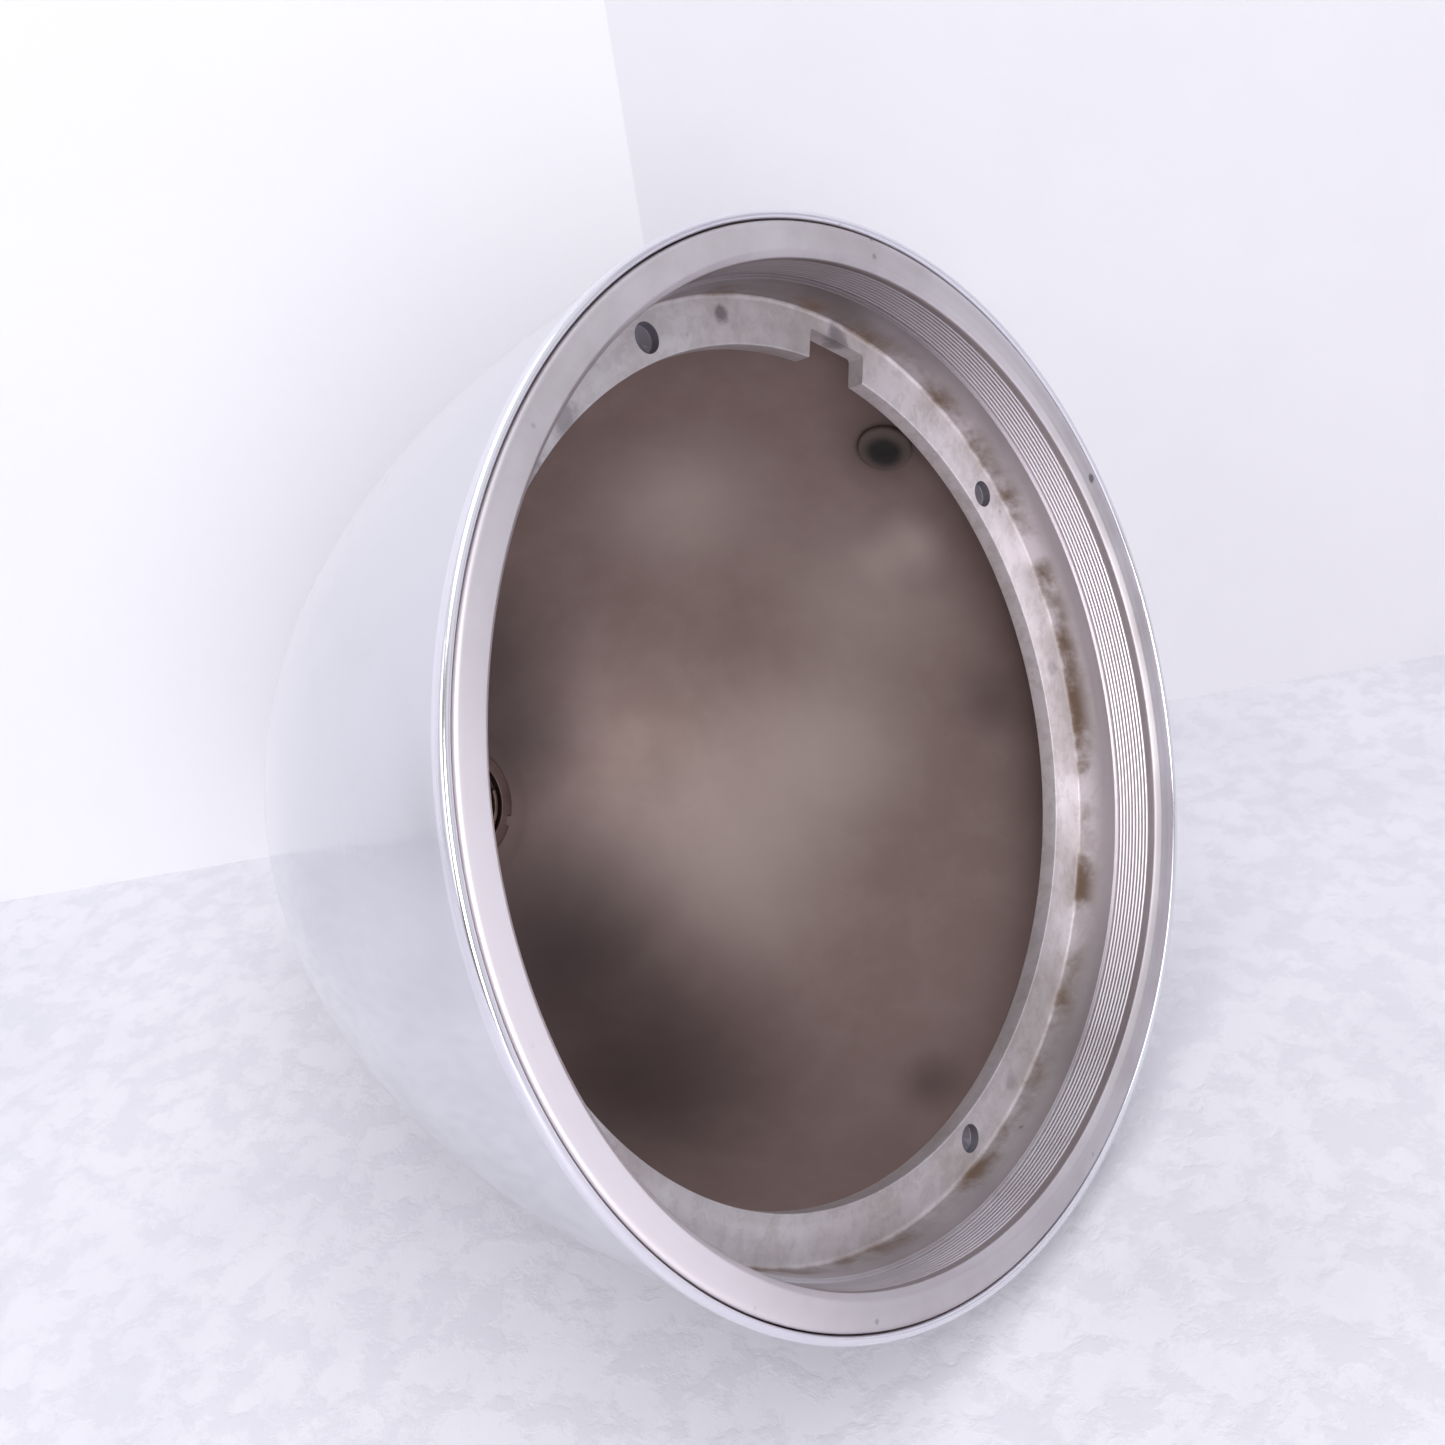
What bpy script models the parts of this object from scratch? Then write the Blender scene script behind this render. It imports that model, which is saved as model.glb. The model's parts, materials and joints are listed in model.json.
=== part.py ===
"""Flash head of a press flash bulb gun, lying on its bell.

Head frame: the origin is the middle of the bell's mouth, +Z points out of the mouth and
depths are counted backwards from the mouth along -Z.  The whole head then leans back by
HEAD_TILT on its belly and its foot.  Metres, +Z up.
"""

import math

import bmesh
import bpy
import numpy as np
from mathutils import Matrix, Vector

MM = 0.001
GAP = 0.3 * MM
DRILL_REACH = 8.0 * MM
ROUND_STEPS = 48
MIDDLE_STEPS = 32
SMALL_STEPS = 24
TINY_STEPS = 12

# How the head lies: the mouth is tipped up by this much.
HEAD_TILT = math.radians(17.5)

# Bell: wall radius = BELL_RADIUS * (1 - (depth / BELL_DEPTH) ** TAPER) ** (1 / FULLNESS)
BELL_RADIUS = 74.85 * MM
BELL_DEPTH = 108.4 * MM
BELL_TAPER = 1.717
BELL_FULLNESS = 2.614
BELL_WALL = 1.2 * MM
BELL_STATIONS = 11
LIP_STEP = 1.45 * MM
LIP_WALL = 1.3 * MM
LIP_LENGTH = 1.7 * MM
FLARE_END = 4.4 * MM
SEAT_MARGIN = 0.5 * MM

# Rubber plug in the bell's side
PLUG_DEPTH = 31.0 * MM
PLUG_ANGLE = math.radians(27.7)
PLUG_HOLE_RADIUS = 3.2 * MM
PLUG_FLANGE_RADIUS = 4.8 * MM
PLUG_FLANGE_THICKNESS = 1.4 * MM

# Mouth ring
RING_CORNER = 1.2 * MM
RING_WIDTH = 4.8 * MM
RING_CHAMFER = 0.9 * MM
RING_STEP_DEPTH = 8.1 * MM
RING_STEP = 0.6 * MM
LEDGE_FILLET = 0.4 * MM
LEDGE_DEPTH = 15.4 * MM
LEDGE_THICKNESS = 2.9 * MM
LEDGE_WIDTH = 7.2 * MM
KEYWAY_ANGLE = math.radians(53.9)
KEYWAY_WIDTH = 12.4 * MM
KEYWAY_HEIGHT = 4.4 * MM
PIN_HOLE_RADIUS = 2.2 * MM
PIN_HOLE_INSET = 3.4 * MM
PIN_HOLE_DEEP = 1.5 * MM
PIN_HOLE_SPREAD = (math.radians(36.0), math.radians(144.0))

# Lamp socket: takes a 15 mm bayonet cap
CAP_BORE_RADIUS = 7.65 * MM
SLEEVE_WALL = 0.85 * MM
SLEEVE_PROUD = 2.4 * MM
SLEEVE_LENGTH = 22.3 * MM
SLEEVE_FLANGE_CLEARANCE = 0.9 * MM
SLEEVE_FLANGE_THICKNESS = 1.5 * MM
BAYONET_SLOT_WIDTH = 2.4 * MM
BAYONET_SLOT_LENGTH = 5.2 * MM
BAYONET_TURN = math.radians(28.0)
NUT_WIDTH = 2.4 * MM
NUT_THICKNESS = 1.6 * MM
NUT_NOTCH = 2.0 * MM
WASHER_INSET = 1.0 * MM
WASHER_THICKNESS = 1.0 * MM

# Rear housing and its cap
HOUSING_RADIUS = 16.5 * MM
HOUSING_WALL = 2.2 * MM
HOUSING_FLOOR = 2.5 * MM
HOUSING_REAR = 5.4 * MM
HOUSING_EDGE = 1.0 * MM
CAP_THICKNESS = 2.7 * MM
CAP_SPIGOT_LENGTH = 4.1 * MM
CAP_SPIGOT_WALL = 2.5 * MM
CAP_SCREW_HOLE_DEEP = 1.75 * MM
CAP_SCREW_COUNT = 3
CAP_SCREW_ANGLE = math.radians(30.0)
CAP_SCREW_HEAD_RADIUS = 1.7 * MM
CAP_SCREW_HEAD_HEIGHT = 0.9 * MM
CAP_SCREW_SHAFT_RADIUS = 0.9 * MM

# Contact block, its sprung plunger and the terminals
BLOCK_SPIGOT_LENGTH = 4.0 * MM
BLOCK_FLANGE_THICKNESS = 3.5 * MM
PLUNGER_TRAVEL = 2.4 * MM
PLUNGER_SUNK = 0.5 * MM
PLUNGER_HEAD_RADIUS = 2.2 * MM
PLUNGER_HEAD_LENGTH = 2.6 * MM
PLUNGER_FLANGE_RADIUS = 2.9 * MM
PLUNGER_FLANGE_THICKNESS = 1.0 * MM
PLUNGER_STEM_RADIUS = 1.2 * MM
PLUNGER_COLLAR_RADIUS = 2.3 * MM
PLUNGER_COLLAR_THICKNESS = 1.0 * MM
SPRING_WELL_RADIUS = 3.2 * MM
SPRING_WELL_DEEP = 4.4 * MM
PLUNGER_WIRE_RADIUS = 0.25 * MM
PLUNGER_COIL_RADIUS = 2.15 * MM
PLUNGER_TURNS = 4
STRIP_THICKNESS = 0.6 * MM
STRIP_WIDTH = 4.4 * MM
STRIP_REACH = 9.6 * MM
STRIP_TAB = 2.6 * MM
TERMINAL_SCREW_PLACE = 6.3 * MM
TERMINAL_HEAD_RADIUS = 1.9 * MM
TERMINAL_HEAD_HEIGHT = 1.3 * MM
TERMINAL_SHAFT_RADIUS = 0.9 * MM
TERMINAL_SHAFT_LENGTH = 3.0 * MM
STRAP_START = 13.0 * MM
STRAP_PAST = 5.7 * MM
LEAD_RADIUS = 0.6 * MM

# Lamp ejector
EJECTOR_TRAVEL = 5.0 * MM
EJECTOR_RING_BORE = 4.0 * MM
EJECTOR_THICKNESS = 1.2 * MM
EJECTOR_ARM_WIDTH = 3.0 * MM
THUMB_WIDTH = 9.0 * MM
THUMB_LENGTH = 8.4 * MM
THUMB_HEIGHT = 3.6 * MM
THUMB_RIBS = 3
THUMB_RIB = 0.9 * MM
THUMB_EDGE = 0.6 * MM
EJECTOR_WIRE_RADIUS = 0.22 * MM
EJECTOR_COIL_RADIUS = 1.45 * MM
EJECTOR_TURNS = 4

# Two-pin inlet in the cap
INLET_RADIUS = 7.5 * MM
INLET_WELL_RADIUS = 6.2 * MM
INLET_WELL_DEEP = 6.0 * MM
INLET_FLOOR = 1.8 * MM
INLET_FLANGE_RADIUS = 9.4 * MM
INLET_FLANGE_THICKNESS = 1.2 * MM
INLET_PIN_RADIUS = 0.9 * MM
INLET_PIN_SPACING = 6.6 * MM
INLET_PIN_TAIL = 0.9 * MM
INLET_PIN_RECESS = 0.8 * MM

# Band round the housing, with the lug that the foot tilts on
BAND_CLEARANCE = 0.5 * MM
BAND_WIDTH = 10.0 * MM
BAND_WALL = 2.0 * MM
LUG_WIDTH = 10.0 * MM
BAND_SCREW_ANGLE = math.radians(0.0)
BAND_SCREW_HEAD_RADIUS = 2.4 * MM
BAND_SCREW_HEAD_HEIGHT = 1.4 * MM
BAND_SCREW_SHAFT_RADIUS = 1.2 * MM

# Tilting foot
FRICTION_WASHER_RADIUS = 5.4 * MM
FRICTION_WASHER_THICKNESS = 1.0 * MM
EAR_THICKNESS = 2.5 * MM
EAR_RADIUS = 6.0 * MM
FOOT_WIDTH = 30.0 * MM
FOOT_THICKNESS = 3.0 * MM
FOOT_FRONT = 17.0 * MM
FOOT_REAR = 17.0 * MM
FOOT_CORNER = 4.0 * MM
FOOT_HOLE_RADIUS = 3.3 * MM
FOOT_HOLE_PLACE = 11.0 * MM
BOLT_RADIUS = 2.4 * MM
BOLT_HEAD_RADIUS = 4.2 * MM
BOLT_HEAD_HEIGHT = 2.6 * MM
BOLT_END = 5.5 * MM
KNOB_RADIUS = 7.5 * MM
KNOB_THICKNESS = 7.0 * MM
KNOB_FLUTES = 12
KNOB_FLUTE_RADIUS = 1.3 * MM
KNOB_EDGE = 0.8 * MM
KNOB_CLEARANCE = 1.32 * MM

# Radii that follow the bell, the cap's bore and the housing
LIP_RADIUS = BELL_RADIUS + LIP_STEP
RING_INNER_RADIUS = LIP_RADIUS - LIP_WALL - GAP - RING_WIDTH
RING_STEP_RADIUS = RING_INNER_RADIUS - RING_STEP
LEDGE_BORE_RADIUS = RING_STEP_RADIUS - LEDGE_WIDTH
PIN_HOLE_CIRCLE = LEDGE_BORE_RADIUS + PIN_HOLE_INSET
SLEEVE_RADIUS = CAP_BORE_RADIUS + SLEEVE_WALL
NECK_HOLE_RADIUS = SLEEVE_RADIUS + GAP
NUT_RADIUS = NECK_HOLE_RADIUS + NUT_WIDTH
HOUSING_BORE_RADIUS = HOUSING_RADIUS - HOUSING_WALL
SEAT_RADIUS = HOUSING_RADIUS + SEAT_MARGIN
SLEEVE_FLANGE_RADIUS = HOUSING_BORE_RADIUS - SLEEVE_FLANGE_CLEARANCE
WASHER_RADIUS = HOUSING_RADIUS - WASHER_INSET
BAND_BORE_RADIUS = HOUSING_RADIUS + GAP
BAND_RADIUS = BAND_BORE_RADIUS + BAND_WALL

# Places along the axis, as depths behind the mouth
SEAT_SHARE = 1.0 - (SEAT_RADIUS / BELL_RADIUS) ** BELL_FULLNESS
SEAT_DEPTH = BELL_DEPTH * SEAT_SHARE ** (1.0 / BELL_TAPER)
WASHER_START = SEAT_DEPTH + GAP
HOUSING_START = WASHER_START + WASHER_THICKNESS + GAP
SLEEVE_START = SEAT_DEPTH - SLEEVE_PROUD
SLEEVE_END = SLEEVE_START + SLEEVE_LENGTH
STRAP_END = SLEEVE_LENGTH + STRAP_PAST
SLEEVE_FLANGE_START = HOUSING_START + HOUSING_FLOOR + GAP
SLEEVE_FLANGE_END = SLEEVE_FLANGE_START + SLEEVE_FLANGE_THICKNESS
BLOCK_FLANGE_START = SLEEVE_END + GAP
BLOCK_START = BLOCK_FLANGE_START - BLOCK_SPIGOT_LENGTH
BLOCK_END = BLOCK_FLANGE_START + BLOCK_FLANGE_THICKNESS
EJECTOR_END = BLOCK_START - 1.3 * GAP
EJECTOR_START = EJECTOR_END - EJECTOR_THICKNESS
THUMB_END = EJECTOR_END - EJECTOR_THICKNESS / 2.0 + THUMB_LENGTH / 2.0
BAND_FRONT = THUMB_END + BAND_CLEARANCE
PIVOT_DEPTH = BAND_FRONT + BAND_WIDTH / 2.0
HOUSING_END = BAND_FRONT + BAND_WIDTH + HOUSING_REAR
STRIP_START = BLOCK_END + GAP
STRIP_END = STRIP_START + STRIP_THICKNESS
PLUNGER_COLLAR_START = STRIP_END + GAP
PLUNGER_COLLAR_END = PLUNGER_COLLAR_START + PLUNGER_COLLAR_THICKNESS
PLUNGER_FLANGE_END = BLOCK_START + PLUNGER_SUNK - PLUNGER_TRAVEL
PLUNGER_FLANGE_START = PLUNGER_FLANGE_END - PLUNGER_FLANGE_THICKNESS
CAP_START = HOUSING_END + GAP
CAP_END = CAP_START + CAP_THICKNESS
INLET_FLANGE_END = CAP_START - GAP
INLET_FLANGE_START = INLET_FLANGE_END - INLET_FLANGE_THICKNESS
INLET_WELL_FLOOR = CAP_END - INLET_WELL_DEEP
INLET_START = INLET_WELL_FLOOR - INLET_FLOOR
EAR_INNER = LUG_WIDTH / 2.0 + FRICTION_WASHER_THICKNESS + 2.0 * GAP
EAR_OUTER = EAR_INNER + EAR_THICKNESS
PIVOT_HEIGHT = FOOT_THICKNESS + KNOB_CLEARANCE + KNOB_RADIUS


# ---------------------------------------------------------------- scene and helpers


def clear_scene():
    """Remove every object that the file opened with."""
    for old in list(bpy.data.objects):
        bpy.data.objects.remove(old, do_unlink=True)


def make_collection(name):
    """Make a collection under the scene."""
    collection = bpy.data.collections.new(name)
    bpy.context.scene.collection.children.link(collection)
    return collection


def make_material(name, colour, roughness, metallic):
    """Make a plain Principled material."""
    material = bpy.data.materials.new(name)
    material.use_nodes = True
    shader = material.node_tree.nodes["Principled BSDF"]
    shader.inputs["Base Color"].default_value = (*colour, 1.0)
    shader.inputs["Roughness"].default_value = roughness
    shader.inputs["Metallic"].default_value = metallic
    material.diffuse_color = (*colour, 1.0)
    return material


clear_scene()
PARTS = make_collection("flash_head")
CUTTERS = make_collection("cutters")
CUTTERS.hide_render = True

POLISHED = ("polished", (0.90, 0.89, 0.92), 0.08, 1.0)
SATIN = ("satin", (0.72, 0.70, 0.73), 0.34, 1.0)
BRASS = ("brass", (0.72, 0.55, 0.26), 0.28, 1.0)
STEEL = ("steel", (0.60, 0.60, 0.62), 0.30, 1.0)
BAKELITE = ("bakelite", (0.030, 0.024, 0.022), 0.30, 0.0)
FIBRE = ("fibre", (0.24, 0.10, 0.06), 0.62, 0.0)
RUBBER = ("rubber", (0.020, 0.019, 0.019), 0.75, 0.0)
COVERED_WIRE = ("covered_wire", (0.42, 0.05, 0.04), 0.55, 0.0)


def add_object(name, data, finish, parent, place=(0.0, 0.0, 0.0), turn=(0.0, 0.0, 0.0)):
    """Link an object, give it its own material and hang it on its parent."""
    made = bpy.data.objects.new(name, data)
    PARTS.objects.link(made)
    label, colour, roughness, metallic = finish
    made.data.materials.append(make_material(f"{name}_{label}", colour, roughness, metallic))
    made.parent = parent
    made.location = place
    made.rotation_euler = turn
    return made


def add_cutter(name, data, parent, place=(0.0, 0.0, 0.0), turn=(0.0, 0.0, 0.0)):
    """Link a hidden object that a Boolean takes away or adds."""
    made = bpy.data.objects.new(name, data)
    CUTTERS.objects.link(made)
    made.hide_render = True
    made.display_type = "WIRE"
    made.parent = parent
    made.location = place
    made.rotation_euler = turn
    return made


def combine(target, other, operation="DIFFERENCE"):
    """Cut with, or join, another mesh by an exact Boolean."""
    boolean = target.modifiers.new(other.name, "BOOLEAN")
    boolean.operation = operation
    boolean.solver = "EXACT"
    boolean.object = other
    return boolean


def profile_mesh(name, points, closed):
    """Make an edge profile from (radius, depth) pairs, in the plane of +X and Z."""
    mesh = bpy.data.meshes.new(name)
    corners = [(radius, 0.0, -depth) for radius, depth in points]
    edges = [(index, index + 1) for index in range(len(corners) - 1)]
    if closed:
        edges.append((len(corners) - 1, 0))
    mesh.from_pydata(corners, edges, [])
    return mesh


def spin(made, steps):
    """Turn a profile once round Z."""
    screw = made.modifiers.new("turn", "SCREW")
    screw.axis = "Z"
    screw.angle = math.tau
    screw.steps = steps
    screw.render_steps = steps
    screw.use_merge_vertices = True
    screw.merge_threshold = 0.00001
    screw.use_smooth_shade = True


def turned(name, points, finish, parent, steps=SMALL_STEPS, closed=True, place=(0.0, 0.0, 0.0)):
    """A turned piece: its profile runs down the outer side from front to back."""
    half_step = math.pi / steps
    made = add_object(name, profile_mesh(name, points, closed), finish, parent, place, (0.0, 0.0, half_step))
    spin(made, steps)
    return made


def tube_points(bore, radius, start, end):
    """The four corners of a plain turned tube."""
    return [(radius, start), (radius, end), (bore, end), (bore, start)]


def rod_mesh(name, radius, length, steps):
    """A solid cylinder from the origin along +Z, shaded round."""
    mesh = bpy.data.meshes.new(name)
    work = bmesh.new()
    bmesh.ops.create_cone(work, cap_ends=True, segments=steps, radius1=radius, radius2=radius, depth=length)
    bmesh.ops.translate(work, verts=work.verts, vec=(0.0, 0.0, length / 2.0))
    bmesh.ops.rotate(work, verts=work.verts, matrix=Matrix.Rotation(math.pi / steps, 3, "Z"))
    work.to_mesh(mesh)
    work.free()
    mesh.shade_smooth()
    mesh.set_sharp_from_angle(angle=math.radians(50.0))
    return mesh


def rods_mesh(name, rods, steps):
    """Several separate cylinders in one mesh: each is (matrix, radius, length)."""
    mesh = bpy.data.meshes.new(name)
    work = bmesh.new()
    for matrix, radius, length in rods:
        whole = matrix @ Matrix.Translation((0.0, 0.0, length / 2.0))
        bmesh.ops.create_cone(
            work, cap_ends=True, segments=steps, radius1=radius, radius2=radius, depth=length, matrix=whole
        )
    work.to_mesh(mesh)
    work.free()
    mesh.shade_smooth()
    mesh.set_sharp_from_angle(angle=math.radians(50.0))
    return mesh


def box_mesh(name, size):
    """A box centred on its own origin."""
    mesh = bpy.data.meshes.new(name)
    work = bmesh.new()
    bmesh.ops.create_cube(work, size=1.0)
    bmesh.ops.scale(work, vec=size, verts=work.verts)
    work.to_mesh(mesh)
    work.free()
    return mesh


def soften(made, width, segments=2):
    """Round the edges of a piece."""
    bevel = made.modifiers.new("edges", "BEVEL")
    bevel.width = width
    bevel.segments = segments
    bevel.limit_method = "ANGLE"
    bevel.angle_limit = math.radians(40.0)
    return bevel


def outward(angle):
    """Turn local +Z to point away from the head's axis, at an angle round it from +X."""
    return Matrix.Rotation(angle, 4, "Z") @ Matrix.Rotation(math.pi / 2.0, 4, "Y")


def coil(name, radius, wire, start, end, turns, finish, parent, place=(0.0, 0.0, 0.0)):
    """A compression spring between two depths, as a helix."""
    per_turn = 10
    count = turns * per_turn + 1
    curve = bpy.data.curves.new(name, "CURVE")
    curve.dimensions = "3D"
    curve.bevel_depth = wire
    curve.bevel_resolution = 2
    curve.use_fill_caps = True
    line = curve.splines.new("POLY")
    line.points.add(count - 1)
    for index in range(count):
        angle = math.tau * index / per_turn
        depth = start + wire + (end - start - 2.0 * wire) * index / (count - 1)
        line.points[index].co = (radius * math.cos(angle), radius * math.sin(angle), -depth, 1.0)
    return add_object(name, curve, finish, parent, place)


def bezier_point(ends, share):
    """A point on the cubic curve through four control points."""
    start, pull_start, pull_end, end = ends
    rest = 1.0 - share
    near = rest**3 * start + 3.0 * rest**2 * share * pull_start
    far = 3.0 * rest * share**2 * pull_end + share**3 * end
    return near + far


# ---------------------------------------------------------------- bell


def bell_wall(turn):
    """Point (radius, depth) on the bell's outer wall, from a turn of 0 at the mouth to a quarter turn."""
    radius = BELL_RADIUS * math.cos(turn) ** (2.0 / BELL_FULLNESS)
    depth = BELL_DEPTH * math.sin(turn) ** (2.0 / BELL_TAPER)
    return radius, depth


def wall_turn_at_depth(depth):
    """The turn at which the outer wall reaches a depth."""
    return math.asin((depth / BELL_DEPTH) ** (BELL_TAPER / 2.0))


def wall_turn_at_radius(radius):
    """The turn at which the outer wall reaches a radius."""
    return math.acos((radius / BELL_RADIUS) ** (BELL_FULLNESS / 2.0))


def inside_of(turn, offset):
    """Point inside the outer wall by an offset square to it."""
    small = 0.0005
    radius, depth = bell_wall(turn)
    radius_before, depth_before = bell_wall(turn - small)
    radius_after, depth_after = bell_wall(turn + small)
    along_radius = radius_after - radius_before
    along_depth = depth_after - depth_before
    length = math.hypot(along_radius, along_depth)
    return radius - offset * along_depth / length, depth + offset * along_radius / length


def inner_radius_at(depth, offset):
    """Radius of the surface that lies inside the outer wall by an offset, at a depth."""
    low = wall_turn_at_depth(FLARE_END / 4.0)
    high = wall_turn_at_radius(SEAT_RADIUS)
    for _ in range(40):
        middle = (low + high) / 2.0
        if inside_of(middle, offset)[1] < depth:
            low = middle
        else:
            high = middle
    return inside_of(low, offset)[0]


def bell_profile():
    """Closed profile of the bell: lip, flare, outer wall, seat, then back along the inside."""
    lip_round = LIP_WALL / 2.0
    lip_middle = LIP_RADIUS - lip_round
    points = []
    for step in range(5):
        angle = math.pi - step * math.pi / 4.0
        points.append((lip_middle + lip_round * math.cos(angle), lip_round * (1.0 - math.sin(angle))))
    points.append((LIP_RADIUS, LIP_LENGTH))
    first = wall_turn_at_depth(FLARE_END)
    last = wall_turn_at_radius(SEAT_RADIUS)
    turns = np.linspace(first, last, BELL_STATIONS)
    points.extend(bell_wall(turn) for turn in turns)
    points.append((NECK_HOLE_RADIUS, SEAT_DEPTH))
    points.append((NECK_HOLE_RADIUS, SEAT_DEPTH - BELL_WALL))
    points.append((SEAT_RADIUS - BELL_WALL / 2.0, SEAT_DEPTH - BELL_WALL))
    points.extend(inside_of(turn, BELL_WALL) for turn in turns[-2::-1])
    points.append((LIP_RADIUS - LIP_WALL, LIP_LENGTH))
    return points


def make_bell(head):
    """Spun bell with a hole at the back for the socket and one in its side for the plug."""
    bell = turned("bell", bell_profile(), POLISHED, head, ROUND_STEPS)
    radius = bell_wall(wall_turn_at_depth(PLUG_DEPTH))[0]
    reach = 4.0 * PLUG_HOLE_RADIUS
    start = (outward(PLUG_ANGLE) @ Vector((0.0, 0.0, radius - reach / 2.0))) + Vector((0.0, 0.0, -PLUG_DEPTH))
    drill = add_cutter("plug_drill", rod_mesh("plug_drill", PLUG_HOLE_RADIUS, reach, TINY_STEPS), head)
    drill.matrix_local = Matrix.Translation(start) @ outward(PLUG_ANGLE)
    combine(bell, drill)
    return bell


def make_side_plug(head):
    """Rubber plug: a stem through the side hole between two flanges."""
    turn = wall_turn_at_depth(PLUG_DEPTH)
    radius = bell_wall(turn)[0]
    slope = math.atan2(radius - bell_wall(turn + 0.01)[0], bell_wall(turn + 0.01)[1] - PLUG_DEPTH)
    sag = PLUG_FLANGE_RADIUS**2 / (2.0 * radius)
    outer_face = GAP
    inner_face = -(BELL_WALL + GAP + sag)
    stem = PLUG_HOLE_RADIUS - GAP
    points = [
        (0.0, -(outer_face + PLUG_FLANGE_THICKNESS)),
        (PLUG_FLANGE_RADIUS * 0.7, -(outer_face + PLUG_FLANGE_THICKNESS)),
        (PLUG_FLANGE_RADIUS, -(outer_face + 0.3 * PLUG_FLANGE_THICKNESS)),
        (PLUG_FLANGE_RADIUS, -outer_face),
        (stem, -outer_face),
        (stem, -inner_face),
        (PLUG_FLANGE_RADIUS, -inner_face),
        (PLUG_FLANGE_RADIUS, -inner_face + 0.6 * PLUG_FLANGE_THICKNESS),
        (PLUG_FLANGE_RADIUS * 0.7, -inner_face + PLUG_FLANGE_THICKNESS),
        (0.0, -inner_face + PLUG_FLANGE_THICKNESS),
    ]
    plug = turned("side_plug", points, RUBBER, head, TINY_STEPS, closed=False)
    tilt = Matrix.Rotation(slope, 4, "Y")
    place = outward(PLUG_ANGLE) @ Vector((0.0, 0.0, radius)) + Vector((0.0, 0.0, -PLUG_DEPTH))
    plug.matrix_local = Matrix.Translation(place) @ outward(PLUG_ANGLE) @ tilt
    return plug


# ---------------------------------------------------------------- mouth ring


def ring_profile():
    """Closed profile of the mouth ring; its outside follows the inside of the bell."""
    outer = LIP_RADIUS - LIP_WALL - GAP
    back = LEDGE_DEPTH + LEDGE_THICKNESS
    fit = BELL_WALL + GAP
    points = []
    for step in range(4):
        angle = math.radians(90.0 - 30.0 * step)
        radius = outer - RING_CORNER + RING_CORNER * math.cos(angle)
        points.append((radius, RING_CORNER * (1.0 - math.sin(angle))))
    points.append((outer, LIP_LENGTH - GAP / 2.0))
    for share in (0.0, 0.33, 0.66, 1.0):
        depth = FLARE_END + share * (back - FLARE_END)
        points.append((inner_radius_at(depth, fit) - 0.2 * GAP, depth))
    points.append((LEDGE_BORE_RADIUS, back))
    points.append((LEDGE_BORE_RADIUS, LEDGE_DEPTH))
    points.append((RING_STEP_RADIUS - LEDGE_FILLET, LEDGE_DEPTH))
    points.append((RING_STEP_RADIUS, LEDGE_DEPTH - LEDGE_FILLET))
    points.append((RING_STEP_RADIUS, RING_STEP_DEPTH))
    points.append((RING_INNER_RADIUS, RING_STEP_DEPTH))
    points.append((RING_INNER_RADIUS, RING_CHAMFER))
    points.append((RING_INNER_RADIUS + RING_CHAMFER, 0.0))
    return points


def make_mouth_ring(head):
    """Machined ring in the bell's mouth, with a keyway and four pin holes in its ledge."""
    ring = turned("mouth_ring", ring_profile(), SATIN, head, ROUND_STEPS)
    size = (2.0 * KEYWAY_HEIGHT, KEYWAY_WIDTH, 3.0 * LEDGE_THICKNESS)
    keyway = add_cutter("keyway_cut", box_mesh("keyway_cut", size), head)
    x = LEDGE_BORE_RADIUS * math.cos(KEYWAY_ANGLE)
    y = LEDGE_BORE_RADIUS * math.sin(KEYWAY_ANGLE)
    place = Vector((x, y, -LEDGE_DEPTH))
    keyway.matrix_local = Matrix.Translation(place) @ Matrix.Rotation(KEYWAY_ANGLE, 4, "Z")
    combine(ring, keyway)
    rods = []
    for spread in PIN_HOLE_SPREAD:
        for side in (-1.0, 1.0):
            angle = KEYWAY_ANGLE + side * spread
            x = PIN_HOLE_CIRCLE * math.cos(angle)
            y = PIN_HOLE_CIRCLE * math.sin(angle)
            bottom = Matrix.Translation((x, y, -(LEDGE_DEPTH + PIN_HOLE_DEEP)))
            rods.append((bottom, PIN_HOLE_RADIUS, 2.0 * PIN_HOLE_DEEP))
    holes = add_cutter("pin_hole_drills", rods_mesh("pin_hole_drills", rods, TINY_STEPS), head)
    combine(ring, holes)
    return ring


# ---------------------------------------------------------------- lamp socket


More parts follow.
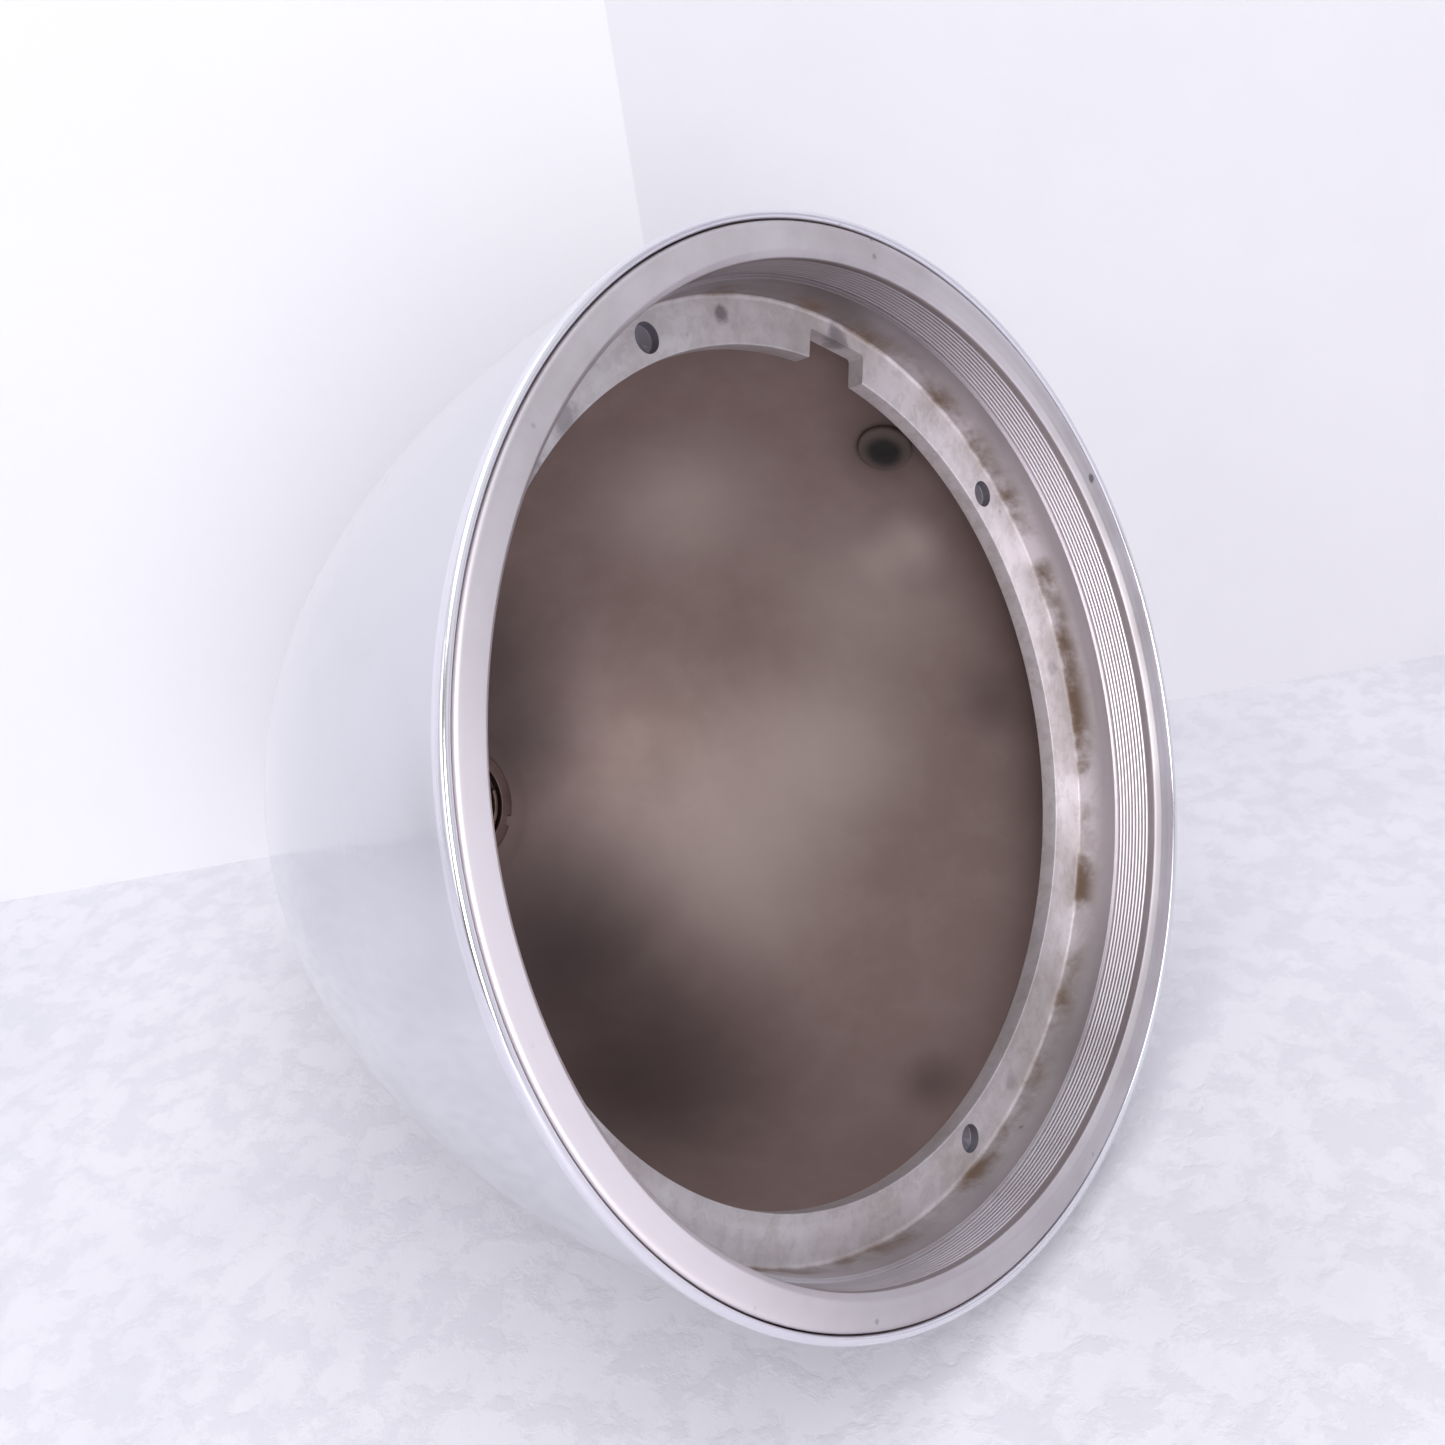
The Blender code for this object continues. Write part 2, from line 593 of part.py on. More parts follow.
def make_sleeve(head):
    """Brass bayonet sleeve with two J slots and a slot for the ejector arm."""
    points = [
        (SLEEVE_RADIUS, SLEEVE_START),
        (SLEEVE_RADIUS, SLEEVE_FLANGE_START),
        (SLEEVE_FLANGE_RADIUS, SLEEVE_FLANGE_START),
        (SLEEVE_FLANGE_RADIUS, SLEEVE_FLANGE_END),
        (SLEEVE_RADIUS, SLEEVE_FLANGE_END),
        (SLEEVE_RADIUS, SLEEVE_END),
        (CAP_BORE_RADIUS, SLEEVE_END),
        (CAP_BORE_RADIUS, SLEEVE_START),
    ]
    sleeve = turned("bayonet_sleeve", points, BRASS, head)
    slot_depth = SLEEVE_START + BAYONET_SLOT_LENGTH
    turn_run = SLEEVE_RADIUS * BAYONET_TURN
    for side in (0.0, math.pi):
        entry_size = (4.0 * SLEEVE_WALL, BAYONET_SLOT_WIDTH, 2.0 * BAYONET_SLOT_LENGTH)
        entry = add_cutter(f"slot_entry_{round(side)}", box_mesh("slot_entry", entry_size), head)
        around = Matrix.Rotation(side, 4, "Z")
        middle = Vector((CAP_BORE_RADIUS + SLEEVE_WALL / 2.0, 0.0, -SLEEVE_START))
        entry.matrix_local = around @ Matrix.Translation(middle)
        combine(sleeve, entry)
        rest_size = (5.0 * SLEEVE_WALL, turn_run + BAYONET_SLOT_WIDTH, BAYONET_SLOT_WIDTH)
        rest = add_cutter(f"slot_rest_{round(side)}", box_mesh("slot_rest", rest_size), head)
        rest_place = BAYONET_SLOT_WIDTH / 2.0 - slot_depth
        middle = Vector((CAP_BORE_RADIUS + SLEEVE_WALL / 2.0, turn_run / 2.0, rest_place))
        rest.matrix_local = around @ Matrix.Translation(middle)
        combine(sleeve, rest)
    slot_start = EJECTOR_START - EJECTOR_TRAVEL - 2.0 * GAP
    slot_length = SLEEVE_END - slot_start + 2.0 * GAP
    slot_size = (EJECTOR_ARM_WIDTH + 2.0 * GAP, 6.0 * SLEEVE_WALL, slot_length)
    slot = add_cutter("ejector_sleeve_slot", box_mesh("ejector_sleeve_slot", slot_size), head)
    slot.location = (0.0, CAP_BORE_RADIUS + SLEEVE_WALL / 2.0, -(slot_start + slot_length / 2.0))
    combine(sleeve, slot)
    return sleeve


def make_neck_pieces(head):
    """Nut inside the bell and fibre washer outside it, which clamp the socket to the bell."""
    bore = SLEEVE_RADIUS + GAP
    nut_end = SEAT_DEPTH - BELL_WALL - GAP
    nut = turned("neck_nut", tube_points(bore, NUT_RADIUS, nut_end - NUT_THICKNESS, nut_end), SATIN, head)
    for index in range(4):
        size = (NUT_NOTCH, NUT_NOTCH, 2.0 * NUT_THICKNESS)
        notch = add_cutter(f"nut_notch_{index}", box_mesh("nut_notch", size), head)
        around = Matrix.Rotation((index + 0.5) * math.pi / 2.0, 4, "Z")
        notch.matrix_local = around @ Matrix.Translation((NUT_RADIUS, 0.0, -(nut_end - NUT_THICKNESS / 2.0)))
        combine(nut, notch)
    washer_end = WASHER_START + WASHER_THICKNESS
    turned("neck_washer", tube_points(bore, WASHER_RADIUS, WASHER_START, washer_end), FIBRE, head)


def make_contact_block(head):
    """Fibre block that closes the sleeve and guides the plunger."""
    spigot = CAP_BORE_RADIUS - GAP
    flange = SLEEVE_RADIUS - GAP / 2.0
    well_end = BLOCK_START + SPRING_WELL_DEEP
    stem_hole = PLUNGER_STEM_RADIUS + GAP
    points = [
        (spigot, BLOCK_START),
        (spigot, BLOCK_FLANGE_START),
        (flange, BLOCK_FLANGE_START),
        (flange, BLOCK_END),
        (stem_hole, BLOCK_END),
        (stem_hole, well_end),
        (SPRING_WELL_RADIUS, well_end),
        (SPRING_WELL_RADIUS, BLOCK_START),
    ]
    block = turned("contact_block", points, FIBRE, head)
    drill_length = TERMINAL_SHAFT_LENGTH + 2.0 * GAP
    drill_mesh = rod_mesh("terminal_drill", TERMINAL_SHAFT_RADIUS + GAP, 2.0 * drill_length, TINY_STEPS)
    drill = add_cutter("terminal_drill", drill_mesh, head)
    drill.location = (0.0, -TERMINAL_SCREW_PLACE, -(BLOCK_END + drill_length))
    combine(block, drill)
    return block


def make_plunger(head):
    """Sprung centre contact, with its spring."""
    dome_start = PLUNGER_FLANGE_START - PLUNGER_HEAD_LENGTH
    anchor = PLUNGER_COLLAR_END
    axis_empty = make_empty("plunger_axis", head, (0.0, 0.0, -anchor))
    points = [
        (0.0, dome_start),
        (0.6 * PLUNGER_HEAD_RADIUS, dome_start + 0.2 * PLUNGER_HEAD_RADIUS),
        (PLUNGER_HEAD_RADIUS, dome_start + PLUNGER_HEAD_RADIUS),
        (PLUNGER_HEAD_RADIUS, PLUNGER_FLANGE_START),
        (PLUNGER_FLANGE_RADIUS, PLUNGER_FLANGE_START),
        (PLUNGER_FLANGE_RADIUS, PLUNGER_FLANGE_END),
        (PLUNGER_STEM_RADIUS, PLUNGER_FLANGE_END),
        (PLUNGER_STEM_RADIUS, PLUNGER_COLLAR_START),
        (PLUNGER_COLLAR_RADIUS, PLUNGER_COLLAR_START),
        (PLUNGER_COLLAR_RADIUS, PLUNGER_COLLAR_END),
        (0.0, PLUNGER_COLLAR_END),
    ]
    shifted = [(radius, depth - anchor) for radius, depth in points]
    turned("contact_plunger", shifted, BRASS, axis_empty, TINY_STEPS, closed=False)
    spring_start = PLUNGER_FLANGE_END + GAP
    spring_end = BLOCK_START + SPRING_WELL_DEEP - GAP
    coil(
        "plunger_spring",
        PLUNGER_COIL_RADIUS,
        PLUNGER_WIRE_RADIUS,
        spring_start,
        spring_end,
        PLUNGER_TURNS,
        STEEL,
        head,
    )


def make_terminals(head):
    """Centre strip under its screw, and the strap up the side of the sleeve."""
    length = STRIP_REACH + STRIP_WIDTH / 2.0
    flat_mesh = box_mesh("centre_terminal", (STRIP_WIDTH, length, STRIP_THICKNESS))
    flat = add_object("centre_terminal", flat_mesh, BRASS, head)
    flat.location = (0.0, (STRIP_WIDTH / 2.0 - STRIP_REACH) / 2.0, -(STRIP_START + STRIP_THICKNESS / 2.0))
    tab_mesh = box_mesh("terminal_tab", (STRIP_WIDTH, STRIP_THICKNESS, STRIP_TAB))
    tab = add_cutter("terminal_tab", tab_mesh, head)
    tab.location = (0.0, STRIP_THICKNESS / 2.0 - STRIP_REACH, -(STRIP_START + STRIP_TAB / 2.0))
    combine(flat, tab, "UNION")
    holes = [
        (Matrix.Translation((0.0, 0.0, -STRIP_END - GAP)), PLUNGER_STEM_RADIUS + GAP, 4.0 * STRIP_THICKNESS),
        (
            Matrix.Translation((0.0, -TERMINAL_SCREW_PLACE, -STRIP_END - GAP)),
            TERMINAL_SHAFT_RADIUS + GAP,
            4.0 * STRIP_THICKNESS,
        ),
    ]
    drills = add_cutter("terminal_drills", rods_mesh("terminal_drills", holes, TINY_STEPS), head)
    combine(flat, drills)

    head_start = STRIP_END + GAP
    screw_points = [
        (0.0, BLOCK_END - TERMINAL_SHAFT_LENGTH),
        (TERMINAL_SHAFT_RADIUS, BLOCK_END - TERMINAL_SHAFT_LENGTH),
        (TERMINAL_SHAFT_RADIUS, head_start),
        (TERMINAL_HEAD_RADIUS, head_start),
        (TERMINAL_HEAD_RADIUS, head_start + TERMINAL_HEAD_HEIGHT),
        (0.0, head_start + TERMINAL_HEAD_HEIGHT),
    ]
    place = (0.0, -TERMINAL_SCREW_PLACE, 0.0)
    turned("terminal_screw", screw_points, STEEL, head, TINY_STEPS, closed=False, place=place)

    strap_mesh = box_mesh("sleeve_terminal", (STRIP_THICKNESS, STRIP_WIDTH, STRAP_END - STRAP_START + GAP))
    strap = add_object("sleeve_terminal", strap_mesh, BRASS, head)
    strap_middle = SLEEVE_START + STRAP_START + (STRAP_END - STRAP_START) / 2.0
    strap.location = (-(SLEEVE_RADIUS + GAP + STRIP_THICKNESS / 2.0), 0.0, -strap_middle)


# ---------------------------------------------------------------- lamp ejector


def make_ejector(head):
    """Ring inside the sleeve on an arm, its thumb piece outside, and its return spring."""
    slide = make_empty("ejector_axis", head, (0.0, 0.0, -EJECTOR_END))
    ring_radius = CAP_BORE_RADIUS - 1.5 * GAP
    front = EJECTOR_START - EJECTOR_END
    points = tube_points(EJECTOR_RING_BORE, ring_radius, front, 0.0)
    fork = turned("ejector_fork", points, STEEL, slide)
    arm_start = (EJECTOR_RING_BORE + ring_radius) / 2.0
    arm_end = HOUSING_RADIUS + THUMB_HEIGHT / 2.0
    arm_size = (EJECTOR_ARM_WIDTH, arm_end - arm_start, EJECTOR_THICKNESS)
    arm = add_cutter("ejector_arm", box_mesh("ejector_arm", arm_size), slide)
    arm.location = (0.0, (arm_start + arm_end) / 2.0, EJECTOR_THICKNESS / 2.0)
    combine(fork, arm, "UNION")

    base = HOUSING_RADIUS + GAP
    thumb_size = (THUMB_WIDTH, THUMB_HEIGHT, THUMB_LENGTH)
    thumb = add_object("ejector_thumb", box_mesh("ejector_thumb", thumb_size), BAKELITE, slide)
    thumb.location = (0.0, base + THUMB_HEIGHT / 2.0, EJECTOR_THICKNESS / 2.0)
    soften(thumb, THUMB_EDGE)
    pitch = THUMB_LENGTH / (THUMB_RIBS + 1.0)
    for index in range(THUMB_RIBS):
        groove_mesh = box_mesh("thumb_groove", (2.0 * THUMB_WIDTH, 2.0 * THUMB_RIB, THUMB_RIB))
        groove = add_cutter(f"thumb_groove_{index}", groove_mesh, slide)
        along = EJECTOR_THICKNESS / 2.0 + (index - (THUMB_RIBS - 1.0) / 2.0) * pitch
        groove.location = (0.0, base + THUMB_HEIGHT, along)
        combine(thumb, groove)
    pocket_size = (
        EJECTOR_ARM_WIDTH + 2.0 * GAP,
        2.0 * (arm_end - base + GAP),
        EJECTOR_THICKNESS + 2.0 * GAP,
    )
    pocket = add_cutter("thumb_pocket", box_mesh("thumb_pocket", pocket_size), slide)
    pocket.location = (0.0, base, EJECTOR_THICKNESS / 2.0)
    combine(thumb, pocket)
    saddle_mesh = rod_mesh("thumb_saddle", base, 2.0 * THUMB_LENGTH, MIDDLE_STEPS)
    saddle = add_cutter("thumb_saddle", saddle_mesh, slide)
    saddle.location = (0.0, 0.0, -THUMB_LENGTH)
    combine(thumb, saddle)

    spring_place = (0.0, (SLEEVE_RADIUS + HOUSING_BORE_RADIUS) / 2.0, 0.0)
    coil(
        "ejector_spring",
        EJECTOR_COIL_RADIUS,
        EJECTOR_WIRE_RADIUS,
        SLEEVE_FLANGE_END + GAP,
        EJECTOR_START - GAP,
        EJECTOR_TURNS,
        STEEL,
        head,
        spring_place,
    )


# ---------------------------------------------------------------- rear housing, cap and inlet


def make_housing(head):
    """Moulded cup behind the bell, open at the back, with a slot for the ejector arm."""
    bore = SLEEVE_RADIUS + GAP
    points = [
        (HOUSING_RADIUS - HOUSING_EDGE, HOUSING_START),
        (HOUSING_RADIUS, HOUSING_START + HOUSING_EDGE),
        (HOUSING_RADIUS, HOUSING_END),
        (HOUSING_BORE_RADIUS, HOUSING_END),
        (HOUSING_BORE_RADIUS, HOUSING_START + HOUSING_FLOOR),
        (bore, HOUSING_START + HOUSING_FLOOR),
        (bore, HOUSING_START),
    ]
    housing = turned("rear_housing", points, BAKELITE, head, MIDDLE_STEPS)
    slot_start = EJECTOR_START - EJECTOR_TRAVEL - 2.0 * GAP
    slot_end = EJECTOR_END + 2.0 * GAP
    slot_size = (EJECTOR_ARM_WIDTH + 2.0 * GAP, 3.0 * HOUSING_WALL, slot_end - slot_start)
    slot = add_cutter("ejector_housing_slot", box_mesh("ejector_housing_slot", slot_size), head)
    slot.location = (0.0, HOUSING_RADIUS - HOUSING_WALL / 2.0, -(slot_start + slot_end) / 2.0)
    combine(housing, slot)
    rods = []
    for angle, depth in cap_screw_places():
        start = radial_place(angle, depth, HOUSING_BORE_RADIUS - HOUSING_WALL)
        rods.append((start, CAP_SCREW_SHAFT_RADIUS + GAP, DRILL_REACH))
    inner = radial_place(BAND_SCREW_ANGLE, PIVOT_DEPTH, HOUSING_BORE_RADIUS - HOUSING_WALL)
    rods.append((inner, BAND_SCREW_SHAFT_RADIUS + GAP, DRILL_REACH))
    drills = add_cutter("housing_drills", rods_mesh("housing_drills", rods, TINY_STEPS), head)
    combine(housing, drills)
    return housing


def radial_place(angle, depth, radius):
    """Matrix for a rod that starts at a radius and points straight away from the axis."""
    return Matrix.Translation((0.0, 0.0, -depth)) @ outward(angle) @ Matrix.Translation((0.0, 0.0, radius))


def cap_screw_places():
    """Angle round the axis and depth of each cap screw."""
    depth = HOUSING_END - CAP_SPIGOT_LENGTH / 2.0
    step = math.tau / CAP_SCREW_COUNT
    return [(CAP_SCREW_ANGLE + index * step, depth) for index in range(CAP_SCREW_COUNT)]


def make_cap(head):
    """Rear cap with a spigot inside the housing, held by three radial screws."""
    spigot = HOUSING_BORE_RADIUS - GAP
    bore = INLET_RADIUS + GAP
    points = [
        (spigot, CAP_START - CAP_SPIGOT_LENGTH),
        (spigot, CAP_START),
        (HOUSING_RADIUS, CAP_START),
        (HOUSING_RADIUS, CAP_END - HOUSING_EDGE),
        (HOUSING_RADIUS - HOUSING_EDGE, CAP_END),
        (bore, CAP_END),
        (bore, CAP_START),
        (spigot - CAP_SPIGOT_WALL, CAP_START),
        (spigot - CAP_SPIGOT_WALL, CAP_START - CAP_SPIGOT_LENGTH),
    ]
    cap = turned("rear_cap", points, BAKELITE, head, MIDDLE_STEPS)
    hole_start = spigot - CAP_SCREW_HOLE_DEEP
    shaft_start = hole_start + GAP
    shaft_length = HOUSING_RADIUS + 2.0 * GAP - shaft_start
    drills = []
    for index, (angle, depth) in enumerate(cap_screw_places()):
        hole = radial_place(angle, depth, hole_start)
        drills.append((hole, CAP_SCREW_SHAFT_RADIUS + GAP, DRILL_REACH))
        shaft = (radial_place(angle, depth, shaft_start), CAP_SCREW_SHAFT_RADIUS, shaft_length)
        seat = radial_place(angle, depth, HOUSING_RADIUS + GAP)
        screw_head = (seat, CAP_SCREW_HEAD_RADIUS, CAP_SCREW_HEAD_HEIGHT)
        headed_pin(f"cap_screw_{index + 1}", shaft, screw_head, STEEL, head)
    cutter = add_cutter("cap_drills", rods_mesh("cap_drills", drills, TINY_STEPS), head)
    combine(cap, cutter)


def headed_pin(name, shaft, head_rod, finish, parent):
    """A screw or bolt: a shaft rod joined to a head rod, each (matrix, radius, length)."""
    made = add_object(name, rods_mesh(name, [shaft], TINY_STEPS), finish, parent)
    cap = add_cutter(f"{name}_head", rods_mesh(f"{name}_head", [head_rod], TINY_STEPS), parent)
    combine(made, cap, "UNION")
    return made


def make_inlet(head):
    """Moulded two-pin inlet that sits in the cap, with its pins."""
    points = [
        (0.0, INLET_START),
        (INLET_RADIUS, INLET_START),
        (INLET_RADIUS, INLET_FLANGE_START),
        (INLET_FLANGE_RADIUS, INLET_FLANGE_START),
        (INLET_FLANGE_RADIUS, INLET_FLANGE_END),
        (INLET_RADIUS, INLET_FLANGE_END),
        (INLET_RADIUS, CAP_END + GAP),
        (INLET_WELL_RADIUS, CAP_END + GAP),
        (INLET_WELL_RADIUS, INLET_WELL_FLOOR),
        (0.0, INLET_WELL_FLOOR),
    ]
    inlet = turned("inlet_block", points, BAKELITE, head, closed=False)
    pin_start = INLET_START - INLET_PIN_TAIL
    pin_end = CAP_END - INLET_PIN_RECESS
    drills = []
    for side, label in ((-1.0, "left"), (1.0, "right")):
        x = side * INLET_PIN_SPACING / 2.0
        drill_start = Matrix.Translation((x, 0.0, -(INLET_WELL_FLOOR + INLET_FLOOR)))
        drills.append((drill_start, INLET_PIN_RADIUS + GAP, 3.0 * INLET_FLOOR))
        pin = (Matrix.Translation((x, 0.0, -pin_end)), INLET_PIN_RADIUS, pin_end - pin_start)
        add_object(f"inlet_pin_{label}", rods_mesh(f"inlet_pin_{label}", [pin], TINY_STEPS), BRASS, head)
    cutter = add_cutter("inlet_drills", rods_mesh("inlet_drills", drills, TINY_STEPS), head)
    combine(inlet, cutter)


def make_lead(name, start, start_pull, end_pull, end, head):
    """A short covered wire inside the housing."""
    count = 11
    curve = bpy.data.curves.new(name, "CURVE")
    curve.dimensions = "3D"
    curve.bevel_depth = LEAD_RADIUS
    curve.bevel_resolution = 2
    curve.use_fill_caps = True
    line = curve.splines.new("POLY")
    line.points.add(count - 1)
    for index in range(count):
        place = bezier_point((start, start + start_pull, end + end_pull, end), index / (count - 1))
        line.points[index].co = (*place, 1.0)
    add_object(name, curve, COVERED_WIRE, head)


def make_leads(head):
    """Leads from the two terminals to the tails of the inlet pins."""
    tail = -(INLET_START - INLET_PIN_TAIL - GAP)
    pin_x = INLET_PIN_SPACING / 2.0
    tab_end = -(STRIP_START + STRIP_TAB + GAP)
    tab_y = STRIP_THICKNESS / 2.0 - STRIP_REACH
    strap_x = -(SLEEVE_RADIUS + GAP + STRIP_THICKNESS / 2.0)
    strap_end = -(SLEEVE_START + STRAP_END + 2.0 * GAP)
    centre_start = Vector((STRIP_WIDTH / 3.0, tab_y, tab_end))
    centre_end = Vector((pin_x, 0.0, tail))
    strap_start = Vector((strap_x, 0.0, strap_end))
    strap_finish = Vector((-pin_x, 0.0, tail))
    make_lead(
        "centre_lead",
        centre_start,
        Vector((0.0, 0.0, -1.5 * MM)),
        Vector((0.0, 0.0, 1.5 * MM)),
        centre_end,
        head,
    )
    make_lead(
        "sleeve_lead",
        strap_start,
        Vector((0.0, 0.0, -2.2 * MM)),
        Vector((0.0, 0.0, 2.0 * MM)),
        strap_finish,
        head,
    )


# ---------------------------------------------------------------- band and tilting foot


def outline_mesh(name, outline, thickness):
    """A flat outline with this thickness, as a filled 2D curve made into a mesh."""
    curve = bpy.data.curves.new(name, "CURVE")
    curve.dimensions = "2D"
    curve.fill_mode = "BOTH"
    curve.extrude = thickness / 2.0
    line = curve.splines.new("POLY")
    line.use_cyclic_u = True
    line.points.add(len(outline) - 1)
    for index, (x, y) in enumerate(outline):
        line.points[index].co = (x, y, 0.0, 1.0)
    holder = bpy.data.objects.new(name, curve)
    CUTTERS.objects.link(holder)
    evaluated = holder.evaluated_get(bpy.context.evaluated_depsgraph_get())
    mesh = bpy.data.meshes.new_from_object(evaluated)
    bpy.data.objects.remove(holder, do_unlink=True)
    work = bmesh.new()
    work.from_mesh(mesh)
    bmesh.ops.remove_doubles(work, verts=work.verts, dist=0.000001)
    work.to_mesh(mesh)
    work.free()
    return mesh


def tongue_outline(radius, length):
    """Round nose about the origin with straight sides that run up by a length."""
    outline = [(radius, length), (-radius, length)]
    for step in range(13):
        angle = math.pi + step * math.pi / 12.0
        outline.append((radius * math.cos(angle), radius * math.sin(angle)))
    return outline


def make_band(head):
    """Metal band round the housing with the tilting lug, and its grip screw."""
    points = tube_points(BAND_BORE_RADIUS, BAND_RADIUS, BAND_FRONT, BAND_FRONT + BAND_WIDTH)
    band = turned("housing_band", points, SATIN, head, MIDDLE_STEPS)
    drop = pivot_drop()
    lug_top = drop - HOUSING_RADIUS - BAND_WALL / 2.0
    lug_mesh = outline_mesh("band_lug", tongue_outline(BAND_WIDTH / 2.0, lug_top), LUG_WIDTH)
    lug = add_cutter("band_lug", lug_mesh, head)
    stand = Matrix(((0.0, 0.0, 1.0, 0.0), (0.0, 1.0, 0.0, 0.0), (-1.0, 0.0, 0.0, 0.0), (0.0, 0.0, 0.0, 1.0)))
    lug.matrix_local = Matrix.Translation((0.0, -drop, -PIVOT_DEPTH)) @ stand
    combine(band, lug, "UNION")
    across = Matrix.Rotation(math.pi / 2.0, 4, "Y")
    pivot_start = Matrix.Translation((-LUG_WIDTH, -drop, -PIVOT_DEPTH)) @ across
    screw_hole = radial_place(BAND_SCREW_ANGLE, PIVOT_DEPTH, HOUSING_RADIUS - HOUSING_WALL)
    rods = [
        (pivot_start, BOLT_RADIUS + GAP, 2.0 * LUG_WIDTH),
        (screw_hole, BAND_SCREW_SHAFT_RADIUS + GAP, DRILL_REACH),
    ]
    drills = add_cutter("band_drills", rods_mesh("band_drills", rods, TINY_STEPS), head)
    combine(band, drills)

    shaft_start = HOUSING_BORE_RADIUS + GAP
    shaft_length = BAND_RADIUS + 2.0 * GAP - shaft_start
    shaft = (radial_place(BAND_SCREW_ANGLE, PIVOT_DEPTH, shaft_start), BAND_SCREW_SHAFT_RADIUS, shaft_length)
    seat = radial_place(BAND_SCREW_ANGLE, PIVOT_DEPTH, BAND_RADIUS + GAP)
    headed_pin("band_screw", shaft, (seat, BAND_SCREW_HEAD_RADIUS, BAND_SCREW_HEAD_HEIGHT), STEEL, head)


def floor_drop():
    """Distance from the middle of the mouth down to the table that the bell's belly rests on."""
    across = math.cos(math.pi / ROUND_STEPS) * math.cos(HEAD_TILT)
    return max(radius * across + depth * math.sin(HEAD_TILT) for radius, depth in bell_profile())


def pivot_drop():
    """Distance from the head's axis down to the tilt bolt, square to the axis."""
    below_mouth = floor_drop() - PIVOT_HEIGHT
    return (below_mouth - PIVOT_DEPTH * math.sin(HEAD_TILT)) / math.cos(HEAD_TILT)


def make_foot(head):
    """Foot with two ears on the tilt bolt: its sole lies flat on the table."""
    pivot = make_empty("tilt_axis", head, (0.0, -pivot_drop(), -PIVOT_DEPTH))
    pivot.rotation_euler = (HEAD_TILT - math.pi / 2.0, 0.0, 0.0)
    height = PIVOT_HEIGHT
    outline = rounded_rectangle(FOOT_WIDTH, FOOT_FRONT + FOOT_REAR, FOOT_CORNER)
    foot = add_object("tilt_foot", outline_mesh("tilt_foot", outline, FOOT_THICKNESS), SATIN, pivot)
    foot.location = (0.0, (FOOT_REAR - FOOT_FRONT) / 2.0, FOOT_THICKNESS / 2.0 - height)
    stand = Matrix(((0.0, 0.0, 1.0, 0.0), (1.0, 0.0, 0.0, 0.0), (0.0, 1.0, 0.0, 0.0), (0.0, 0.0, 0.0, 1.0)))
    flip = Matrix.Rotation(math.pi, 4, "X")
    ear_outline = tongue_outline(EAR_RADIUS, height - FOOT_THICKNESS / 2.0)
    ear_mesh = outline_mesh("foot_ear", ear_outline, EAR_THICKNESS)
    for side in (-1.0, 1.0):
        ear = add_cutter(f"foot_ear_{'left' if side < 0.0 else 'right'}", ear_mesh, pivot)
        middle = side * (EAR_INNER + EAR_THICKNESS / 2.0)
        ear.matrix_local = Matrix.Translation((middle, 0.0, 0.0)) @ flip @ stand
        combine(foot, ear, "UNION")
    across = Matrix.Rotation(math.pi / 2.0, 4, "Y")
    rods = [(Matrix.Translation((-FOOT_WIDTH, 0.0, 0.0)) @ across, BOLT_RADIUS + GAP, 2.0 * FOOT_WIDTH)]
    for side in (-1.0, 1.0):
        hole = Matrix.Translation((0.0, side * FOOT_HOLE_PLACE, -height - FOOT_THICKNESS))
        rods.append((hole, FOOT_HOLE_RADIUS, 3.0 * FOOT_THICKNESS))
    drills = add_cutter("foot_drills", rods_mesh("foot_drills", rods, TINY_STEPS), pivot)
    combine(foot, drills)
    make_tilt_hardware(pivot, across)


def rounded_rectangle(width, length, corner):
    """Outline of a rectangle with quarter-round corners, centred on the origin."""
    outline = []
    for quarter in range(4):
        sign_x = 1.0 if quarter in (0, 3) else -1.0
        sign_y = 1.0 if quarter in (0, 1) else -1.0
        for step in range(5):
            angle = (quarter + step / 4.0) * math.pi / 2.0
            x = sign_x * (width / 2.0 - corner) + corner * math.cos(angle)
            y = sign_y * (length / 2.0 - corner) + corner * math.sin(angle)
            outline.append((x, y))
    return outline


